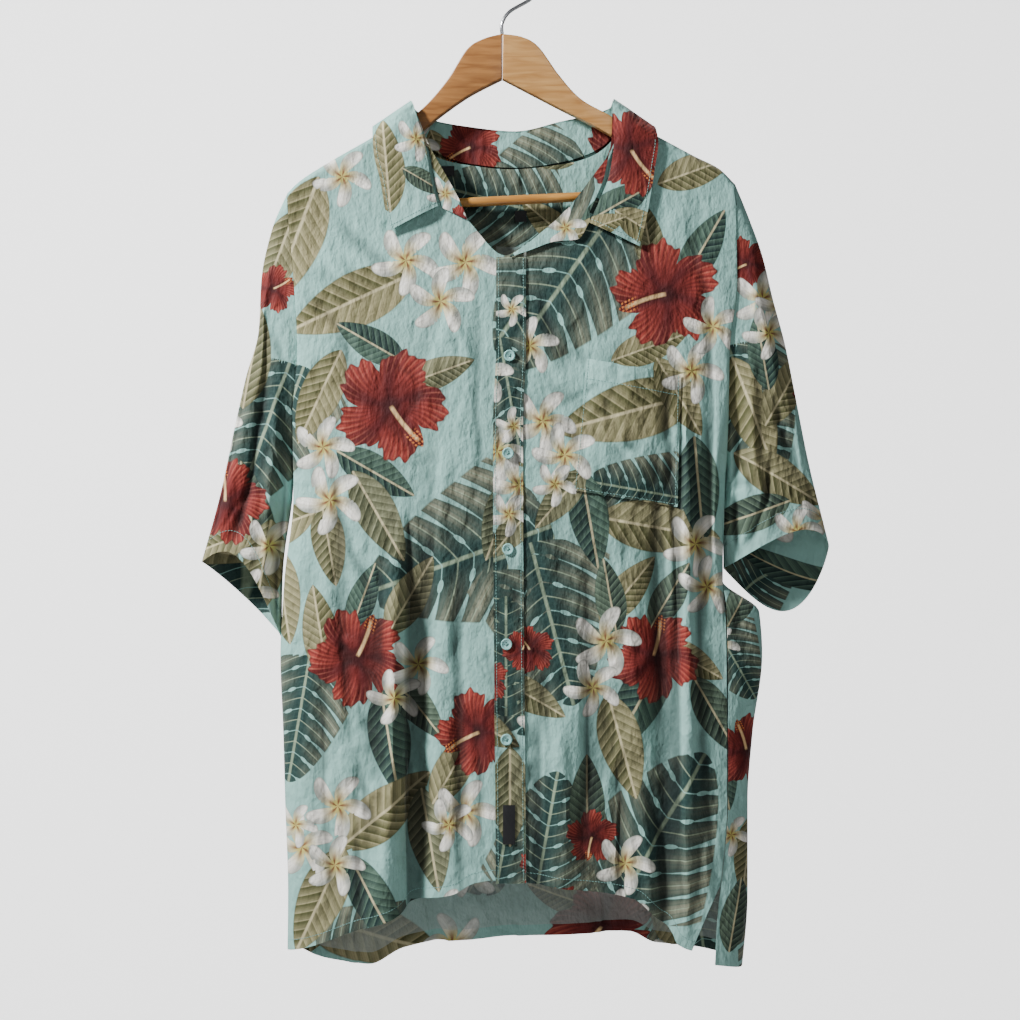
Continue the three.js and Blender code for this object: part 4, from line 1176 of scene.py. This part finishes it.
def tube(line, radius, sides=8):
    """Points and faces of a closed round tube along a line."""
    line = np.asarray(line, float)
    along = np.gradient(line, axis=0)
    along /= np.linalg.norm(along, axis=1, keepdims=True)
    aside = np.cross(along, [0.0, 1.0, 0.02])
    aside /= np.linalg.norm(aside, axis=1, keepdims=True)
    up = np.cross(aside, along)
    turn = np.linspace(0, 2 * math.pi, sides, endpoint=False)
    ring = aside[:, None] * np.cos(turn)[None, :, None] + up[:, None] * np.sin(turn)[None, :, None]
    points = (line[:, None] + radius * ring).reshape(-1, 3)
    faces = []
    for i in range(len(line) - 1):
        for j in range(sides):
            a, b = i * sides + j, i * sides + (j + 1) % sides
            faces.append((a, a + sides, b + sides, b))
    faces.append(tuple(range(sides)))
    faces.append(tuple(range((len(line) - 1) * sides, len(line) * sides))[::-1])
    return points, faces


STITCH_R = 0.28
STITCH = 2.3
STITCH_PITCH = 3.1
STITCH_BOW = 0.15


def stitches(name, lines):
    """Short thread dashes along lines that lie on the cloth's front."""
    points, faces = [], []
    for line in lines:
        run = np.concatenate([[0], np.cumsum(np.linalg.norm(np.diff(line, axis=0), axis=1))])
        for start in np.arange(1, run[-1] - STITCH, STITCH_PITCH):
            at = np.array([start, start + STITCH / 2, start + STITCH])
            dash = np.stack([np.interp(at, run, line[:, i]) for i in range(3)], 1)
            dash[1, 1] -= STITCH_BOW
            p, f = tube(dash, STITCH_R, 4)
            faces += [tuple(i + len(points) for i in face) for face in f]
            points += p.tolist()
    return mesh_object(name, points, faces, [THREAD])


def inset(points, column, away):
    """A line on a grid, away mm from the column 0 or -1."""
    first, second = (points[:, 0], points[:, 1]) if column == 0 else (points[:, -1], points[:, -2])
    step = np.linalg.norm(second - first, axis=1, keepdims=True)
    return first + (second - first) * away / np.maximum(step, 1e-6)


def rise_from(points, row_gap):
    """A line row_gap mm above the hem of a panel grid."""
    length = np.cumsum(np.linalg.norm(np.diff(points[::-1], axis=0), axis=2), axis=0)
    out = []
    for i in range(points.shape[1]):
        run = np.concatenate([[0], length[:, i]])
        out.append([np.interp(row_gap, run, points[::-1, i, j]) for j in range(3)])
    return np.array(out)


seams = [
    inset(PLACKET, 0, 2.5), inset(PLACKET, -1, 2.5),
    rise_from(FRONT_LEFT, 10)[:-3], rise_from(FRONT_RIGHT, 10),
    inset(POCKET_POINTS, 0, 2.5), inset(POCKET_POINTS, -1, 2.5),
    rise_from(POCKET_POINTS, 2.5), rise_from(POCKET_POINTS[::-1], 20),
    rise_from(LEAF_POINTS[:, :50], 4), rise_from(LEAF_POINTS[:, -46:], 4),
    inset(LEAF_POINTS, 0, 4), inset(LEAF_POINTS, -1, 4),
    rise_from(LEFT[:, HALF_SLEEVE], 22), rise_from(RIGHT[:, HALF_SLEEVE], 22),
]
stitching = stitches("look_stitching", seams)


def lathe(outline, centre, sides=40):
    """A round solid that faces the front, from its radius and height at each step."""
    points, faces = [], []
    for r, h in outline:
        for j in range(sides):
            turn = 2 * math.pi * j / sides
            points.append((centre[0] + r * math.cos(turn), centre[1] - h, centre[2] + r * math.sin(turn)))
    for i in range(len(outline) - 1):
        for j in range(sides):
            a, b = i * sides + j, i * sides + (j + 1) % sides
            faces.append((a, b, b + sides, a + sides))
    faces.append(tuple(range(sides))[::-1])
    faces.append(tuple(range((len(outline) - 1) * sides, len(outline) * sides)))
    return points, faces


HOLE_AT = 1.55  # from a button's middle to its holes


def button(i, x, z):
    seat = float(on_body(np.array(float(x)), np.array(float(z)), -1, CLOTH + LAY)) - 0.15
    r = BUTTON_R
    outline = [(r - 0.6, 0), (r, 0.6), (r, 1.9), (r - 0.5, 2.5), (r - 1.2, 2.5), (r - 1.8, 1.8), (0.6, 1.7)]
    first = math.pi / 4 + 0.3 * i

    def hole(turn, lift):
        return (x + HOLE_AT * math.cos(turn), seat - lift, z + HOLE_AT * math.sin(turn))

    def thread(turn):
        far = (x - HOLE_AT * math.cos(turn), seat - 1.9, z - HOLE_AT * math.sin(turn))
        return tube([hole(turn, 1.9), (x, seat - 2.15, z), far], 0.32, 8)

    parts = [lathe(outline, (x, seat, z))]
    # Four thin dark discs on the face: painted shade where the button's holes are.
    parts += [lathe([(0.75, 0),
    (0.75, 0.1)], hole(first + j * math.pi / 2, 1.66), 14) for j in range(4)]
    parts += [thread(first), thread(first + math.pi / 2)]
    points, faces, index = [], [], []
    for material, (p, f) in zip([0, 1, 1, 1, 1, 2, 2], parts):
        faces += [tuple(n + len(points) for n in face) for face in f]
        points += [tuple(point) for point in p]
        index += [material] * len(f)
    return mesh_object(f"look_button_{i + 1}", points, faces, [SHELL, HOLE_SHADE, THREAD], index)


buttons = [button(i, x, z) for i, (x, z) in enumerate(BUTTONS)]


def tab(name, x, z, width, height, front):
    v = np.linspace(0, 1, 12)[:, None]
    u = np.linspace(0, 1, 6)[None]
    px = x + width * (u - 0.5) + 0 * v
    pz = z + height * (0.5 - v) + 0 * u
    if front:
        y = on_body(px, pz, -1, 2 * (CLOTH + LAY) - 0.5)
    else:
        y = on_body(px, pz, 1, -CLOTH - LAY, 1.0)
    points = np.stack([px, y, pz], 2)
    return shell(name, points, points[..., [0, 2]], {}, BLACK, BLACK, thick=0.5, flip=front)


hem_label = tab("look_hem_label", -1, -867.5, 12, 39, True)
size_tab = tab("look_size_tab", 11, -253, 12, 11, False)
neck_label = tab("look_neck_label", -63.5, -207, 13, 10, False)

# ---- hanger ----
ARM_HALF = 6
ARM_DROP = 6.6
ARM_TOP = {
    "left": [(-8, -70), (-27, -75), (-44, -86), (-63, -116), (-84, -141)],
    "right": [(-7.7, -70), (12, -73), (29, -83), (50, -112), (72, -136), (101, -152.5)],
}
ARM_FOOT = {
    "left": [(-196, -236), (-184, -255), (-170, -252), (-130, -204), (-86, -165.5), (-45, -135),
    (-8, -115.5)],
    "right": [(197, -226), (188, -240), (174, -236), (140, -198), (100, -171.5), (45, -143),
    (-7.7, -115.5)],
}
ARM_REACH = {"left": -200, "right": 202}
BAR = [(-159, -246.5), (162.5, -230.2)]
BAR_R = 4.8
HOOK_R = 1.8
HOOK_BEND = 23.8


def through(points, steps):
    """A smooth line through points."""
    p = np.asarray(points, float)
    p = np.concatenate([p[:1], p, p[-1:]])
    out = []
    for i in range(1, len(p) - 2):
        for t in np.arange(steps) / steps:
            a, b, c, d = p[i - 1:i + 3]
            out.append(0.5 * (2 * b + (c - a) * t + (2 * a - 5 * b + 4 * c - d) * t ** 2
                              + (3 * b - a - 3 * c + d) * t ** 3))
    out.append(p[-2])
    return np.array(out)


def arm(side, material):
    sign = -1 if side == "left" else 1
    reach = ARM_REACH[side]
    shoulder = [(x, z - ARM_DROP) for x, z in SHOULDER if 100 < x * sign < abs(reach)]
    shoulder.sort(key=lambda p: abs(p[0]))
    end = (reach, float(read(SHOULDER, np.array(float(reach)))) - ARM_DROP - 3)
    outline = through([*ARM_TOP[side], *shoulder, end, *ARM_FOOT[side]], 7)
    mesh = bpy.data.meshes.new(f"look_arm_{side}")
    work = bmesh.new()
    ring = [work.verts.new((x * MM, -ARM_HALF * MM, z * MM)) for x, z in outline]
    face = work.faces.new(ring)
    made = bmesh.ops.extrude_face_region(work, geom=[face])
    for vert in [g for g in made["geom"] if isinstance(g, bmesh.types.BMVert)]:
        vert.co.y = ARM_HALF * MM
    bmesh.ops.recalc_face_normals(work, faces=work.faces)
    rims = [e for e in work.edges if len({round(v.co.y, 5) for v in e.verts}) == 1]
    bmesh.ops.bevel(work, geom=rims, offset=2.2 * MM, segments=4, profile=0.5, affect="EDGES",
                    clamp_overlap=True)
    for f in work.faces:
        f.smooth = True
    sharpen(work, SHARP_WOOD)
    work.to_mesh(mesh)
    work.free()
    mesh.materials.append(material)
    return linked(f"look_arm_{side}", mesh)


arm_left = arm("left", WOOD_L)
arm_right = arm("right", WOOD_R)
span = np.linspace(0, 1, 12)[:, None]
bar_line = np.array([BAR[0][0], 0, BAR[0][1]]) * (1 - span) + np.array([BAR[1][0], 0, BAR[1][1]]) * span
bar = mesh_object("look_bar", *tube(bar_line, BAR_R, 40), [WOOD_BAR])
turns = np.linspace(-0.5, 1.12 * math.pi, 10)
ring = [(HOOK_BEND * math.cos(a), 0, -22 + HOOK_BEND * math.sin(a)) for a in turns]
hook_line = through([(-8, 0, -69.7), (-8, 0, -58), (0, 0, -46), *ring], 8)
hook = mesh_object("look_hook", *tube(hook_line, HOOK_R, 20), [STEEL])

# ---- what stands for what ----
NODES = {
    "front_left": (front_left, "cloth"), "front_right": (front_right, "cloth"), "back": (back, "cloth"),
    "sleeve_left": (sleeve_left, "cloth"), "sleeve_right": (sleeve_right, "cloth"),
    "collar_leaf": (collar_leaf, "cloth"), "collar_stand": (collar_stand, "cloth"),
    "placket": (placket, "cloth"), "pocket": (pocket, "cloth"), "hem_label": (hem_label, "tab"),
    "size_tab": (size_tab, "tab"), "neck_label": (neck_label, "tab"), "hanger_arm_left": (arm_left, "wood"),
    "hanger_arm_right": (arm_right, "wood"), "hanger_bar": (bar, "wood"), "hanger_hook": (hook, "hook"),
    **{f"button_{i + 1}": (b, "button") for i, b in enumerate(buttons)},
}
with bpy.context.temp_override(active_object=front_right, selected_editable_objects=[front_right, flap]):
    bpy.ops.object.join()
for node, (piece, slot) in NODES.items():
    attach(piece, "root")
    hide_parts(node)
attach(stitching, "root")

HUNG = ["look_arm_left", "look_arm_right"]
# piece: width and length in metres and area in square metres, of what shows
CUTS = {
    "front_left": (0.26, 0.87, 0.205), "front_right": (0.26, 0.87, 0.190), "back": (0.56, 0.90, 0.475),
    "sleeve_left": (0.20, 0.45, 0.056), "sleeve_right": (0.20, 0.43, 0.056), "collar_leaf": (0.62, 0.075, 0.034),
    "collar_stand": (0.50, 0.026, 0.0112), "placket": (0.032, 0.630, 0.020), "pocket": (0.110, 0.140, 0.0152),
    "hem_label": (0.012, 0.039, None), "size_tab": (0.012, 0.011, None), "neck_label": (0.013, 0.010, None),
}
for node, (width, length, area) in CUTS.items():
    piece = NODES[node][0]
    extra = [stitching] if node == "front_right" else []
    rests = HUNG if node in ("front_left", "front_right", "back") else []

# ---- stage, camera and light ----
def plane(name, place, turn=(0, 0, 0), glow=0.0):
    bpy.ops.mesh.primitive_plane_add(size=9, location=place, rotation=turn)
    obj = bpy.context.object
    material, _, shader = new_material(name)
    shader.inputs["Base Color"].default_value = (0.92, 0.92, 0.92, 1)
    shader.inputs["Roughness"].default_value = 0.9
    if glow:
        shader.inputs["Emission Color"].default_value = (1, 1, 1, 1)
        shader.inputs["Emission Strength"].default_value = glow
    obj.data.materials.append(material)
    return obj


floor = plane("floor", (0, 0, -1.9))
wall = plane("wall", (0, 1.6, 0), (math.pi / 2, 0, 0), 1.7)
wall.visible_diffuse = False
wall.visible_glossy = False

FAR = 1.94
camera_data = bpy.data.cameras.new("camera")
camera = linked("camera", camera_data)
camera.location = (0, -FAR, -0.554)
camera.rotation_euler = (math.pi / 2, 0, 0)
camera_data.sensor_width = 36
camera_data.lens = 36 * (FAR - 0.036) / 1.020
bpy.context.scene.camera = camera
LIT_POINT = Vector((0, 0, -0.55))


def light(name, place, size, power):
    data = bpy.data.lights.new(name, "AREA")
    data.shape = "DISK"
    data.size = size
    data.energy = power
    obj = linked(name, data)
    obj.location = place
    obj.rotation_euler = (LIT_POINT - Vector(place)).to_track_quat("-Z", "Y").to_euler()


light("key", (-1.7, -0.95, 0.9), 0.3, 125)
light("fill", (0.9, -2.3, 0.5), 1.2, 9)
world = bpy.data.worlds.new("world")
world.use_nodes = True
world.node_tree.nodes["Background"].inputs[0].default_value = (1, 1, 1, 1)
world.node_tree.nodes["Background"].inputs[1].default_value = 0.07
bpy.context.scene.world = world
